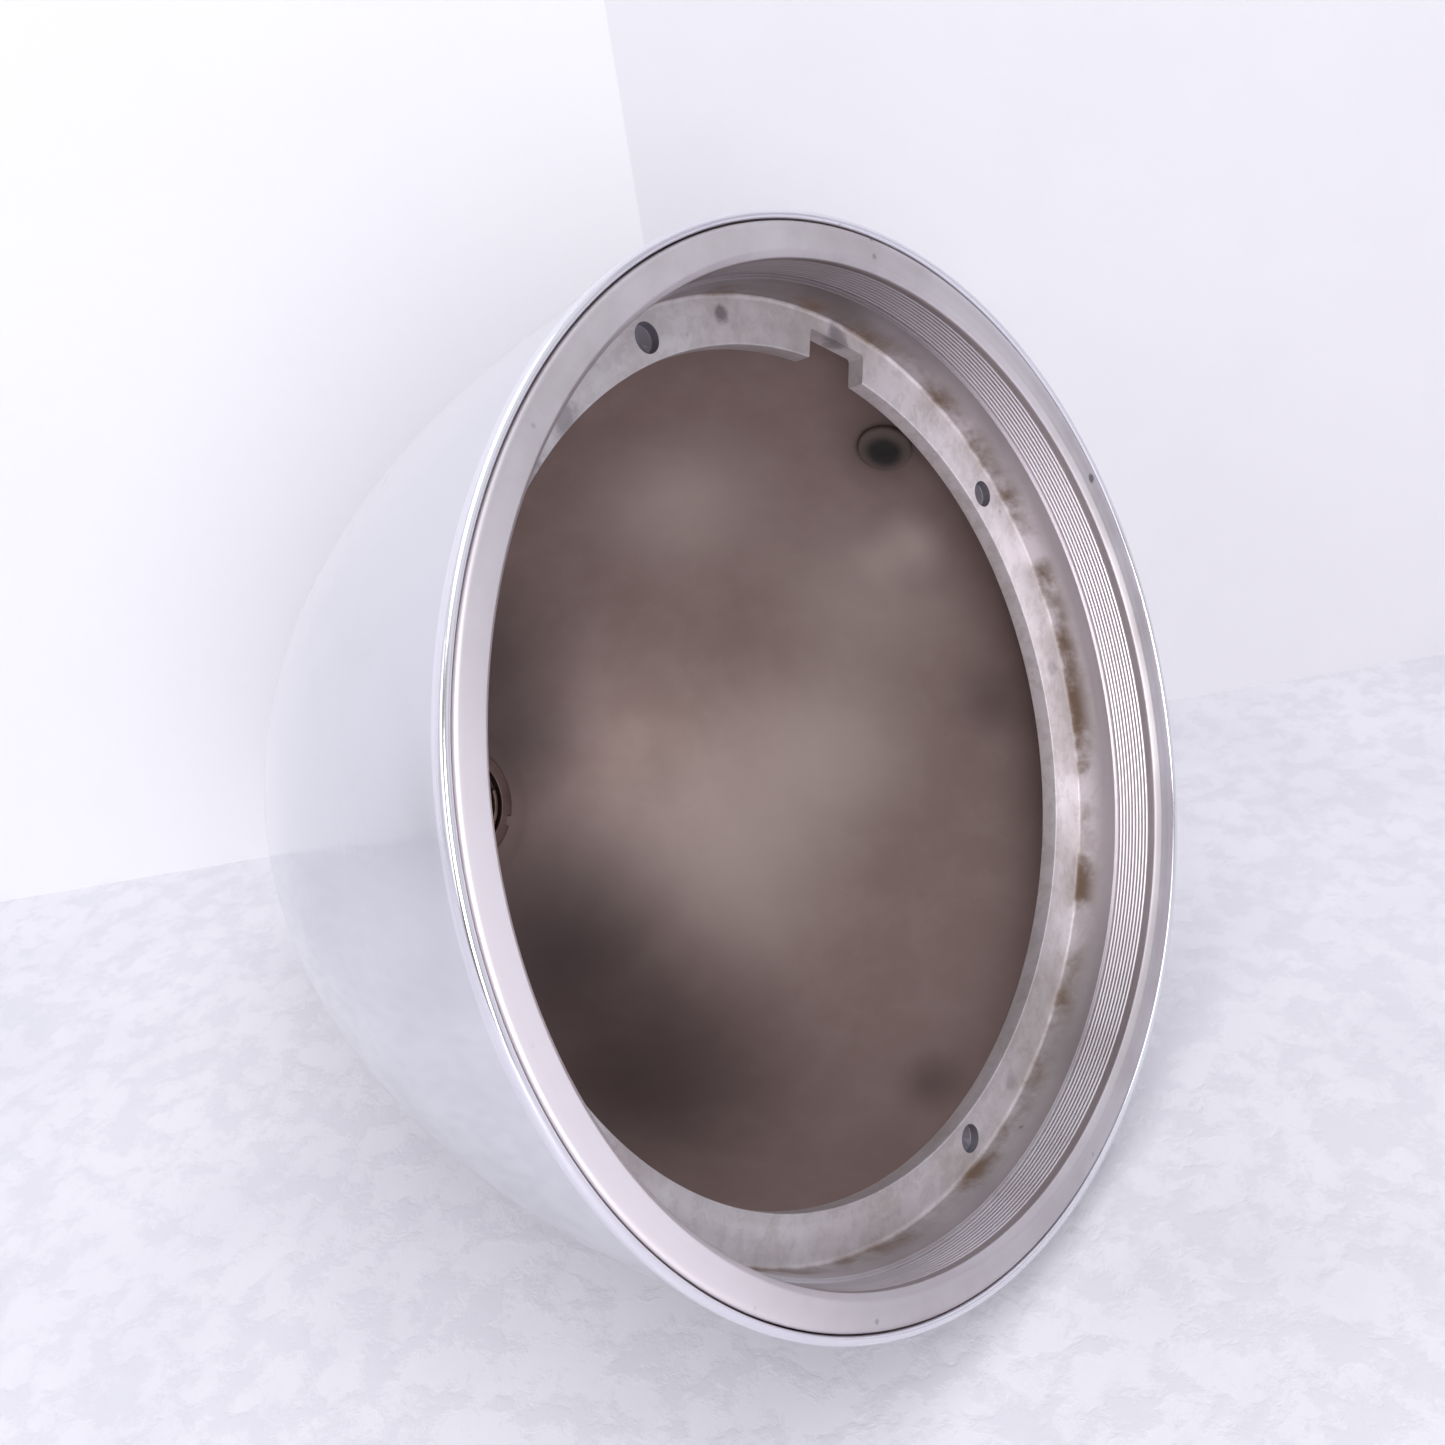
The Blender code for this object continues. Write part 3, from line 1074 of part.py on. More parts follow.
def make_tilt_hardware(pivot, across):
    """Tilt bolt, the two friction washers and the clamp knob."""
    washer_start = LUG_WIDTH / 2.0 + GAP
    bore = BOLT_RADIUS + GAP
    for side, label in ((-1.0, "left"), (1.0, "right")):
        low = -washer_start - FRICTION_WASHER_THICKNESS if side < 0.0 else washer_start
        points = tube_points(bore, FRICTION_WASHER_RADIUS, 0.0, FRICTION_WASHER_THICKNESS)
        washer = turned(f"friction_washer_{label}", points, FIBRE, pivot, TINY_STEPS * 2)
        washer.matrix_local = Matrix.Translation((low + FRICTION_WASHER_THICKNESS, 0.0, 0.0)) @ across

    shaft_low = -(EAR_OUTER + GAP)
    shaft_high = EAR_OUTER + BOLT_END
    shaft_start = Matrix.Translation((shaft_low - GAP, 0.0, 0.0)) @ across
    head_start = Matrix.Translation((shaft_low - BOLT_HEAD_HEIGHT, 0.0, 0.0)) @ across
    shaft = (shaft_start, BOLT_RADIUS, shaft_high - shaft_low + GAP)
    headed_pin("tilt_bolt", shaft, (head_start, BOLT_HEAD_RADIUS, BOLT_HEAD_HEIGHT), STEEL, pivot)

    knob_low = EAR_OUTER + GAP
    bore_length = BOLT_END + 2.0 * GAP
    points = [
        (0.0, -KNOB_THICKNESS),
        (KNOB_RADIUS - KNOB_EDGE, -KNOB_THICKNESS),
        (KNOB_RADIUS, -KNOB_THICKNESS + KNOB_EDGE),
        (KNOB_RADIUS, -KNOB_EDGE),
        (KNOB_RADIUS - KNOB_EDGE, 0.0),
        (bore, 0.0),
        (bore, -bore_length),
        (0.0, -bore_length),
    ]
    knob = turned("clamp_knob", points, BAKELITE, pivot, KNOB_FLUTES * 4, closed=False)
    knob.matrix_local = Matrix.Translation((knob_low, 0.0, 0.0)) @ across
    rods = []
    for index in range(KNOB_FLUTES):
        angle = (index + 0.5) * math.tau / KNOB_FLUTES
        y = (KNOB_RADIUS + KNOB_FLUTE_RADIUS / 2.0) * math.cos(angle)
        z = (KNOB_RADIUS + KNOB_FLUTE_RADIUS / 2.0) * math.sin(angle)
        start = Matrix.Translation((knob_low - GAP, y, z)) @ across
        rods.append((start, KNOB_FLUTE_RADIUS, KNOB_THICKNESS + 2.0 * GAP))
    flutes = add_cutter("knob_flutes", rods_mesh("knob_flutes", rods, 8), pivot)
    combine(knob, flutes)


# ---------------------------------------------------------------- assembly


def make_empty(name, parent, place):
    """An empty that marks a frame or a joint's axis."""
    empty = bpy.data.objects.new(name, None)
    empty.empty_display_size = 0.01
    PARTS.objects.link(empty)
    empty.parent = parent
    empty.location = place
    return empty


def stand_on_table(head):
    """Move the head so that the middle of its footprint is the origin and it rests at z = 0."""
    bpy.context.view_layer.update()
    graph = bpy.context.evaluated_depsgraph_get()
    corners = []
    for made in PARTS.objects:
        if made.type == "EMPTY":
            continue
        evaluated = made.evaluated_get(graph)
        mesh = evaluated.to_mesh()
        points = np.empty(len(mesh.vertices) * 3, dtype=np.float32)
        mesh.vertices.foreach_get("co", points)
        world = np.array(made.matrix_world)
        moved = points.reshape(-1, 3) @ world[:3, :3].T + world[:3, 3]
        corners.append((moved.min(axis=0), moved.max(axis=0)))
        evaluated.to_mesh_clear()
    low = np.min([corner[0] for corner in corners], axis=0)
    high = np.max([corner[1] for corner in corners], axis=0)
    head.location.x -= float(low[0] + high[0]) / 2.0
    head.location.y -= float(low[1] + high[1]) / 2.0
    head.location.z -= float(low[2])


def main():
    """Build the head, piece by piece, and set it on the table."""
    head = make_empty("head_frame", None, (0.0, 0.0, 0.0))
    head.rotation_euler = (math.pi / 2.0 - HEAD_TILT, 0.0, 0.0)
    make_bell(head)
    make_side_plug(head)
    make_mouth_ring(head)
    make_sleeve(head)
    make_neck_pieces(head)
    make_contact_block(head)
    make_plunger(head)
    make_terminals(head)
    make_ejector(head)
    make_housing(head)
    make_cap(head)
    make_inlet(head)
    make_leads(head)
    make_band(head)
    make_foot(head)
    stand_on_table(head)


main()
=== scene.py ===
"""Looks of a polished press flash head that lies on its bell.

Every piece is built in the head's own frame, whose origin is the middle of the mouth,
whose +Z points out of the mouth and whose depths count backwards from it, or in the
tilting foot's frame about its bolt.  Lengths are metres.
"""

import json
import logging
import math
from dataclasses import dataclass, field
from enum import Enum
from typing import Callable, Iterable, Optional, Sequence

import bmesh
import bpy
from mathutils import Matrix, Vector


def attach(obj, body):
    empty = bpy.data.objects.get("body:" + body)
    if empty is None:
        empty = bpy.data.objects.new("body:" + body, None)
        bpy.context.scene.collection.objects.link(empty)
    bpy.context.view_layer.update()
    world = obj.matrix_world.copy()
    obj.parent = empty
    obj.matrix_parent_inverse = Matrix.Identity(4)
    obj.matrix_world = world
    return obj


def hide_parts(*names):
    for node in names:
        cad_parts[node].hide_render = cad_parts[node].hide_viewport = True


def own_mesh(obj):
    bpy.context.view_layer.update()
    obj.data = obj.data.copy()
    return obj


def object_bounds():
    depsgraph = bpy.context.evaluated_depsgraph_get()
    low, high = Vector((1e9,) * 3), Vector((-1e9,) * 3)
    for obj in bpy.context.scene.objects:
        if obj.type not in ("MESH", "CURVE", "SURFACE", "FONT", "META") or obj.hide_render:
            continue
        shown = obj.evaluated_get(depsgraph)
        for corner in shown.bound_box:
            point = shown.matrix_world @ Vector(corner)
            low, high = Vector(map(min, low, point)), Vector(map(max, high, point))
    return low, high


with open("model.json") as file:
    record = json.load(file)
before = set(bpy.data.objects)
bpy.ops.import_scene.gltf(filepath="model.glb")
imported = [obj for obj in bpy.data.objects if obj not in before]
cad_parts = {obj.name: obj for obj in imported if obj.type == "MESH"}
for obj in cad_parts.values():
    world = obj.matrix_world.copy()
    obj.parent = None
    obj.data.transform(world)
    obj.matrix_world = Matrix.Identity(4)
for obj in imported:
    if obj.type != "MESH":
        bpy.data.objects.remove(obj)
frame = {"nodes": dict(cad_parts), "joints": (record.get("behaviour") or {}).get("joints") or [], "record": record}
CAD_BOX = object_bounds()

MM = 0.001
GAP = 0.3 * MM
log = logging.getLogger("flash_head")

Point = tuple[float, float]
Colour = tuple[float, float, float]


class Body(Enum):
    """The moving bodies that pieces ride on."""

    HEAD = "head"
    FOOT = "foot"
    PLUNGER = "plunger"
    EJECTOR = "ejector"
    KNOB = "knob"


class Fineness(Enum):
    """How many facets go once round a turned piece."""

    LARGE = 288
    MIDDLE = 120
    SMALL = 64
    TINY = 32


def tone(red: int, green: int, blue: int) -> Colour:
    """Linear colour from the usual 0 to 255 display values.

    Args:
        red: Display red.
        green: Display green.
        blue: Display blue.

    Returns:
        The colour as three linear numbers.
    """

    def linear(value: float) -> float:
        """Undo the display curve for one channel."""
        share = value / 255.0
        return share / 12.92 if share <= 0.04045 else ((share + 0.055) / 1.055) ** 2.4

    return linear(red), linear(green), linear(blue)


# ---------------------------------------------------------------- shader groups


class Sheet:
    """A node tree being drawn, with short ways to add and join nodes."""

    def __init__(self, tree: bpy.types.NodeTree) -> None:
        """Start on a tree.

        Args:
            tree: The material, world or group tree to draw on.
        """
        self.tree = tree

    def node(self, kind: str, **settings: object) -> bpy.types.Node:
        """Add a node and set its options.

        Args:
            kind: Blender's node type.
            settings: Options to set on it.

        Returns:
            The new node.
        """
        made = self.tree.nodes.new(kind)
        for key, value in settings.items():
            setattr(made, key, value)
        return made

    def feed(self, socket: bpy.types.NodeSocket, value: object) -> None:
        """Join a socket to an output, or set its plain value."""
        if isinstance(value, bpy.types.NodeSocket):
            self.tree.links.new(value, socket)
        elif isinstance(value, (tuple, list)) and socket.type == "RGBA":
            socket.default_value = (*value[:3], 1.0)
        else:
            socket.default_value = value

    def maths(self, operation: str, *values: object, clamp: bool = False) -> bpy.types.NodeSocket:
        """Add a Math node on one to three values and give its result."""
        made = self.node("ShaderNodeMath", operation=operation, use_clamp=clamp)
        for index, value in enumerate(values):
            self.feed(made.inputs[index], value)
        return made.outputs[0]

    def vector(self, operation: str, *values: object) -> bpy.types.Node:
        """Add a Vector Math node and give the node itself."""
        made = self.node("ShaderNodeVectorMath", operation=operation)
        for index, value in enumerate(values):
            self.feed(made.inputs[index], value)
        return made

    def mix(self, factor: object, low: object, high: object) -> bpy.types.NodeSocket:
        """Blend two colours by a factor."""
        made = self.node("ShaderNodeMix", data_type="RGBA")
        self.feed(made.inputs["Factor"], factor)
        self.feed(made.inputs[6], low)
        self.feed(made.inputs[7], high)
        return made.outputs[2]

    def span(self, value: object, low: float, high: float, to_low: float, to_high: float) -> bpy.types.NodeSocket:
        """Map a range onto another with soft ends and give the result."""
        made = self.node("ShaderNodeMapRange", interpolation_type="SMOOTHSTEP", clamp=True)
        for key, number in zip(("Value", "From Min", "From Max", "To Min", "To Max"), (value, low, high, to_low, to_high)):
            self.feed(made.inputs[key], number)
        return made.outputs["Result"]

    def noise(self, place: object, scale: object, detail: float = 4.0, rough: float = 0.5) -> bpy.types.NodeSocket:
        """Add a noise texture and give its factor."""
        made = self.node("ShaderNodeTexNoise")
        self.feed(made.inputs["Vector"], place)
        self.feed(made.inputs["Scale"], scale)
        self.feed(made.inputs["Detail"], detail)
        self.feed(made.inputs["Roughness"], rough)
        return made.outputs[0]

    def group(self, tree: bpy.types.NodeTree, **values: object) -> bpy.types.Node:
        """Place a shader group and fill its named inputs."""
        made = self.node("ShaderNodeGroup", node_tree=tree)
        for key, value in values.items():
            self.feed(made.inputs[key], value)
        return made


class GroupShelf:
    """Shader groups that several finishes share, each drawn once."""

    def __init__(self) -> None:
        """Start with an empty shelf."""
        self.kept: dict[str, bpy.types.NodeTree] = {}

    def take(
        self,
        name: str,
        inputs: Sequence[tuple[str, str, object]],
        outputs: Sequence[str],
        draw: Callable[[Sheet, bpy.types.Node, bpy.types.Node], None],
    ) -> bpy.types.NodeTree:
        """Give a group, drawing it the first time.

        Args:
            name: The group's name.
            inputs: Name, socket type and plain value of each input.
            outputs: Names of the outputs, all plain numbers.
            draw: Draws the inside between the input and the output node.

        Returns:
            The finished group.
        """
        if name not in self.kept:
            tree = bpy.data.node_groups.new(name, "ShaderNodeTree")
            for label, kind, value in inputs:
                socket = tree.interface.new_socket(label, in_out="INPUT", socket_type=kind)
                if value is not None:
                    socket.default_value = value
            for label in outputs:
                tree.interface.new_socket(label, in_out="OUTPUT", socket_type="NodeSocketFloat")
            sheet = Sheet(tree)
            draw(sheet, sheet.node("NodeGroupInput"), sheet.node("NodeGroupOutput"))
            self.kept[name] = tree
        return self.kept[name]

    def mottle(self) -> bpy.types.NodeTree:
        """Cloudy patches at a chosen scale, cut between two levels."""

        def draw(sheet: Sheet, start: bpy.types.Node, end: bpy.types.Node) -> None:
            """Draw a warped noise with soft limits."""
            warp = sheet.noise(start.outputs["Place"], start.outputs["Scale"], 2.0, 0.5)
            moved = sheet.vector("ADD", start.outputs["Place"], sheet.maths("MULTIPLY", warp, 0.004))
            cloud = sheet.noise(moved.outputs[0], start.outputs["Scale"], 6.0, 0.6)
            made = sheet.node("ShaderNodeMapRange", interpolation_type="SMOOTHSTEP")
            sheet.feed(made.inputs["Value"], cloud)
            sheet.feed(made.inputs["From Min"], start.outputs["Low"])
            sheet.feed(made.inputs["From Max"], start.outputs["High"])
            sheet.feed(end.inputs["Mask"], made.outputs["Result"])

        number = "NodeSocketFloat"
        fields = [("Place", "NodeSocketVector", None), ("Scale", number, 60.0), ("Low", number, 0.4), ("High", number, 0.65)]
        return self.take("mottle", fields, ["Mask"], draw)

    def turned_lines(self) -> bpy.types.NodeTree:
        """Fine lathe marks round local Z: they change with radius and depth and hardly with angle."""

        def draw(sheet: Sheet, start: bpy.types.Node, end: bpy.types.Node) -> None:
            """Draw noise on radius and depth."""
            parts = sheet.node("ShaderNodeSeparateXYZ")
            sheet.feed(parts.inputs[0], start.outputs["Place"])
            across = sheet.maths("MULTIPLY", parts.outputs[0], parts.outputs[0])
            up = sheet.maths("MULTIPLY", parts.outputs[1], parts.outputs[1])
            radius = sheet.maths("SQRT", sheet.maths("ADD", across, up))
            around = sheet.maths("MULTIPLY", sheet.maths("ARCTAN2", parts.outputs[1], parts.outputs[0]), 0.0009)
            joined = sheet.node("ShaderNodeCombineXYZ")
            sheet.feed(joined.inputs[0], radius)
            sheet.feed(joined.inputs[1], parts.outputs[2])
            sheet.feed(joined.inputs[2], around)
            fine = sheet.noise(joined.outputs[0], start.outputs["Lines"], 3.0, 0.7)
            broad = sheet.noise(joined.outputs[0], sheet.maths("MULTIPLY", start.outputs["Lines"], 0.22), 2.0, 0.5)
            sheet.feed(end.inputs["Height"], fine)
            sheet.feed(end.inputs["Bands"], sheet.span(broad, 0.38, 0.62, 0.0, 1.0))

        fields = [("Place", "NodeSocketVector", None), ("Lines", "NodeSocketFloat", 2500.0)]
        return self.take("turned_lines", fields, ["Height", "Bands"], draw)

    def soft_spot(self) -> bpy.types.NodeTree:
        """One round patch that fades away from its centre."""

        def draw(sheet: Sheet, start: bpy.types.Node, end: bpy.types.Node) -> None:
            """Draw the fade from a distance."""
            away = sheet.vector("DISTANCE", start.outputs["Place"], start.outputs["Centre"])
            ragged = sheet.noise(start.outputs["Place"], start.outputs["Rag Scale"], 3.0, 0.6)
            push = sheet.maths("MULTIPLY", sheet.maths("SUBTRACT", ragged, 0.5), start.outputs["Rag"])
            share = sheet.maths("ADD", sheet.maths("DIVIDE", away.outputs["Value"], start.outputs["Reach"]), push)
            made = sheet.node("ShaderNodeMapRange", interpolation_type="SMOOTHSTEP")
            sheet.feed(made.inputs["Value"], share)
            sheet.feed(made.inputs["From Min"], start.outputs["Core"])
            sheet.feed(made.inputs["From Max"], 1.0)
            sheet.feed(made.inputs["To Min"], 1.0)
            sheet.feed(made.inputs["To Max"], 0.0)
            sheet.feed(end.inputs["Mask"], made.outputs["Result"])

        number = "NodeSocketFloat"
        fields = [
            ("Place", "NodeSocketVector", None),
            ("Centre", "NodeSocketVector", None),
            ("Reach", number, 0.01),
            ("Core", number, 0.0),
            ("Rag", number, 0.0),
            ("Rag Scale", number, 300.0),
        ]
        return self.take("soft_spot", fields, ["Mask"], draw)

    def specks(self) -> bpy.types.NodeTree:
        """Scattered dust or pits: few, small and uneven."""

        def draw(sheet: Sheet, start: bpy.types.Node, end: bpy.types.Node) -> None:
            """Draw small cells, then keep some of them."""
            cells = sheet.node("ShaderNodeTexVoronoi", feature="F1")
            sheet.feed(cells.inputs["Vector"], start.outputs["Place"])
            sheet.feed(cells.inputs["Scale"], start.outputs["Scale"])
            dot = sheet.node("ShaderNodeMapRange", interpolation_type="SMOOTHSTEP")
            sheet.feed(dot.inputs["Value"], cells.outputs["Distance"])
            sheet.feed(dot.inputs["From Min"], 0.0)
            sheet.feed(dot.inputs["From Max"], start.outputs["Size"])
            sheet.feed(dot.inputs["To Min"], 1.0)
            sheet.feed(dot.inputs["To Max"], 0.0)
            picked = sheet.node("ShaderNodeSeparateColor")
            sheet.feed(picked.inputs[0], cells.outputs["Color"])
            kept = sheet.maths("LESS_THAN", picked.outputs[0], start.outputs["Share"])
            sheet.feed(end.inputs["Mask"], sheet.maths("MULTIPLY", dot.outputs["Result"], kept))

        number = "NodeSocketFloat"
        fields = [("Place", "NodeSocketVector", None), ("Scale", number, 300.0), ("Size", number, 0.12), ("Share", number, 0.1)]
        return self.take("specks", fields, ["Mask"], draw)

    def scratches(self) -> bpy.types.NodeTree:
        """Hairline scratches that run several ways."""

        def draw(sheet: Sheet, start: bpy.types.Node, end: bpy.types.Node) -> None:
            """Draw thin stretched cells at two angles."""
            masks = []
            for turn in (0.5, 2.1):
                laid = sheet.node("ShaderNodeMapping")
                sheet.feed(laid.inputs["Vector"], start.outputs["Place"])
                laid.inputs["Rotation"].default_value = (turn, turn * 0.7, turn * 1.3)
                laid.inputs["Scale"].default_value = (1.0, 0.05, 1.0)
                noise = sheet.noise(laid.outputs[0], start.outputs["Scale"], 2.0, 0.6)
                masks.append(sheet.span(sheet.maths("ABSOLUTE", sheet.maths("SUBTRACT", noise, 0.5)), 0.0, 0.012, 1.0, 0.0))
            broken = sheet.noise(start.outputs["Place"], sheet.maths("MULTIPLY", start.outputs["Scale"], 0.4), 2.0, 0.5)
            both = sheet.maths("MAXIMUM", masks[0], masks[1])
            sheet.feed(end.inputs["Mask"], sheet.maths("MULTIPLY", both, sheet.span(broken, 0.5, 0.68, 0.0, 1.0)))

        fields = [("Place", "NodeSocketVector", None), ("Scale", "NodeSocketFloat", 220.0)]
        return self.take("scratches", fields, ["Mask"], draw)

    def edge_wear(self) -> bpy.types.NodeTree:
        """Rubbed outer edges, broken up by noise."""

        def draw(sheet: Sheet, start: bpy.types.Node, end: bpy.types.Node) -> None:
            """Draw pointed places times noise."""
            shape = sheet.node("ShaderNodeNewGeometry")
            edges = sheet.span(shape.outputs["Pointiness"], 0.51, 0.60, 0.0, 1.0)
            broken = sheet.noise(start.outputs["Place"], start.outputs["Scale"], 4.0, 0.6)
            kept = sheet.span(broken, 0.35, 0.6, 0.0, 1.0)
            sheet.feed(end.inputs["Mask"], sheet.maths("MULTIPLY", edges, kept))

        fields = [("Place", "NodeSocketVector", None), ("Scale", "NodeSocketFloat", 400.0)]
        return self.take("edge_wear", fields, ["Mask"], draw)

    def grain(self) -> bpy.types.NodeTree:
        """A fine even grain as height."""

        def draw(sheet: Sheet, start: bpy.types.Node, end: bpy.types.Node) -> None:
            """Draw a stretched fine noise."""
            laid = sheet.vector("MULTIPLY", start.outputs["Place"], start.outputs["Stretch"])
            sheet.feed(end.inputs["Height"], sheet.noise(laid.outputs[0], start.outputs["Scale"], 4.0, 0.6))

        fields = [
            ("Place", "NodeSocketVector", None),
            ("Stretch", "NodeSocketVector", (1.0, 1.0, 1.0)),
            ("Scale", "NodeSocketFloat", 900.0),
        ]
        return self.take("grain", fields, ["Height"], draw)


GROUPS = GroupShelf()


# ---------------------------------------------------------------- finishes


class Surface(Sheet):
    """A material in the making: its sheet, its shader and its place on the piece."""

    def __init__(self, name: str) -> None:
        """Make a named material with one Principled shader.

        Args:
            name: The material's name.
        """
        self.material = bpy.data.materials.new(name)
        self.material.use_nodes = True
        super().__init__(self.material.node_tree)
        self.shader = self.tree.nodes["Principled BSDF"]
        self.place = self.node("ShaderNodeTexCoord").outputs["Object"]

    def set(self, **values: object) -> None:
        """Fill sockets of the shader, with _ for each space in their names."""
        for key, value in values.items():
            self.feed(self.shader.inputs[key.replace("_", " ")], value)

    def bump(self, height: object, strength: float, distance: float, under: object = None) -> bpy.types.NodeSocket:
        """Add a Bump node, over another normal if one is given."""
        made = self.node("ShaderNodeBump")
        made.inputs["Strength"].default_value = strength
        made.inputs["Distance"].default_value = distance
        self.feed(made.inputs["Height"], height)
        if under is not None:
            self.feed(made.inputs["Normal"], under)
        return made.outputs[0]


@dataclass(frozen=True)
class Finish:
    """A finish: its own material is made once, when a piece first takes it."""

    name: str
    colour: Colour
    roughness: float = 0.4

    def draw(self, surface: Surface) -> None:
        """Draw the finish on a new material."""
        raise NotImplementedError

    def material(self) -> bpy.types.Material:
        """The finish's material."""
        kept = bpy.data.materials.get(self.name)
        if kept is None:
            surface = Surface(self.name)
            self.draw(surface)
            kept = surface.material
        return kept


@dataclass(frozen=True)
class PolishedMetal(Finish):
    """Bright spun metal under a mirror polish, with haze, hairlines and small pits."""

    haze: float = 0.05
    pits: float = 0.05

    def draw(self, surface: Surface) -> None:
        """Mirror metal whose roughness clouds over in patches."""
        place = surface.place
        cloud = surface.group(GROUPS.mottle(), Place=place, Scale=24.0, Low=0.42, High=0.72).outputs["Mask"]
        hair = surface.group(GROUPS.scratches(), Place=place, Scale=90.0).outputs["Mask"]
        pit = surface.group(GROUPS.specks(), Place=place, Scale=210.0, Size=0.10, Share=self.pits).outputs["Mask"]
        turned = surface.group(GROUPS.turned_lines(), Place=place, Lines=900.0)
        dull = tuple(part * 0.86 for part in self.colour)
        base = surface.mix(surface.maths("MULTIPLY", cloud, 0.5), self.colour, dull)
        base = surface.mix(surface.maths("MULTIPLY", pit, 0.75), base, tone(70, 64, 66))
        rough = surface.maths("MULTIPLY_ADD", cloud, self.haze, self.roughness)
        rough = surface.maths("MULTIPLY_ADD", hair, 0.12, rough)
        rough = surface.maths("MULTIPLY_ADD", turned.outputs["Bands"], 0.02, rough)
        surface.set(Base_Color=base, Roughness=rough, Metallic=1.0)
        under = surface.bump(turned.outputs["Height"], 0.04, 0.00002)
        surface.set(Normal=surface.bump(surface.maths("SUBTRACT", 1.0, pit), 0.3, 0.0001, under))


@dataclass(frozen=True)
class Patch:
    """A soft round patch: where it is and how strongly it changes the colour; the patches inside the bell are painted
    reflections and painted shade, those on the ring are stains.
    """

    depth: float
    angle: float
    radius: float
    reach: float
    strength: float

    def centre(self) -> tuple[float, float, float]:
        """The patch's middle in the head's frame."""
        turn = math.radians(self.angle)
        return self.radius * math.cos(turn), self.radius * math.sin(turn), -self.depth


@dataclass(frozen=True)
class TarnishedInsideWithPaintedLight(Finish):
    """Unpolished, oxidised inside of the bell: brown-grey satin, lighter and darker in clouds, with painted reflections
    and painted shade in soft patches.
    """

    light: Colour = (0.3, 0.25, 0.25)
    dark: Colour = (0.06, 0.045, 0.05)
    painted_reflection_patches: tuple[Patch, ...] = ()
    painted_shade_patches: tuple[Patch, ...] = ()

    def draw(self, surface: Surface) -> None:
        """Satin metal whose colour follows a broad cloud and the patches of painted reflection and painted shade."""
        place = surface.place
        cloud = surface.group(GROUPS.mottle(), Place=place, Scale=16.0, Low=0.32, High=0.68).outputs["Mask"]
        fine = surface.group(GROUPS.mottle(), Place=place, Scale=120.0, Low=0.35, High=0.7).outputs["Mask"]
        base = surface.mix(surface.maths("MULTIPLY", cloud, 0.35), self.colour, tuple(part * 0.75 for part in self.colour))
        base = surface.mix(surface.maths("MULTIPLY", fine, 0.10), base, self.light)
        # Bright patches are painted reflections and dark patches are painted shade, mixed into the colour.
        for patches, colour in ((self.painted_reflection_patches, self.light), (self.painted_shade_patches, self.dark)):
            for patch in patches:
                spot = surface.group(
                    GROUPS.soft_spot(), Place=place, Centre=patch.centre(), Reach=patch.reach, Rag=0.35, **{"Rag Scale": 30.0}
                )
                base = surface.mix(surface.maths("MULTIPLY", spot.outputs["Mask"], patch.strength), base, colour)
        dust = surface.group(GROUPS.specks(), Place=place, Scale=95.0, Size=0.06, Share=0.06).outputs["Mask"]
        base = surface.mix(surface.maths("MULTIPLY", dust, 0.6), base, tone(190, 180, 172))
        turned = surface.group(GROUPS.turned_lines(), Place=place, Lines=1400.0)
        rough = surface.maths("MULTIPLY_ADD", cloud, 0.12, self.roughness)
        surface.set(Base_Color=base, Roughness=rough, Metallic=0.45)
        surface.set(Normal=surface.bump(turned.outputs["Height"], 0.10, 0.00003))


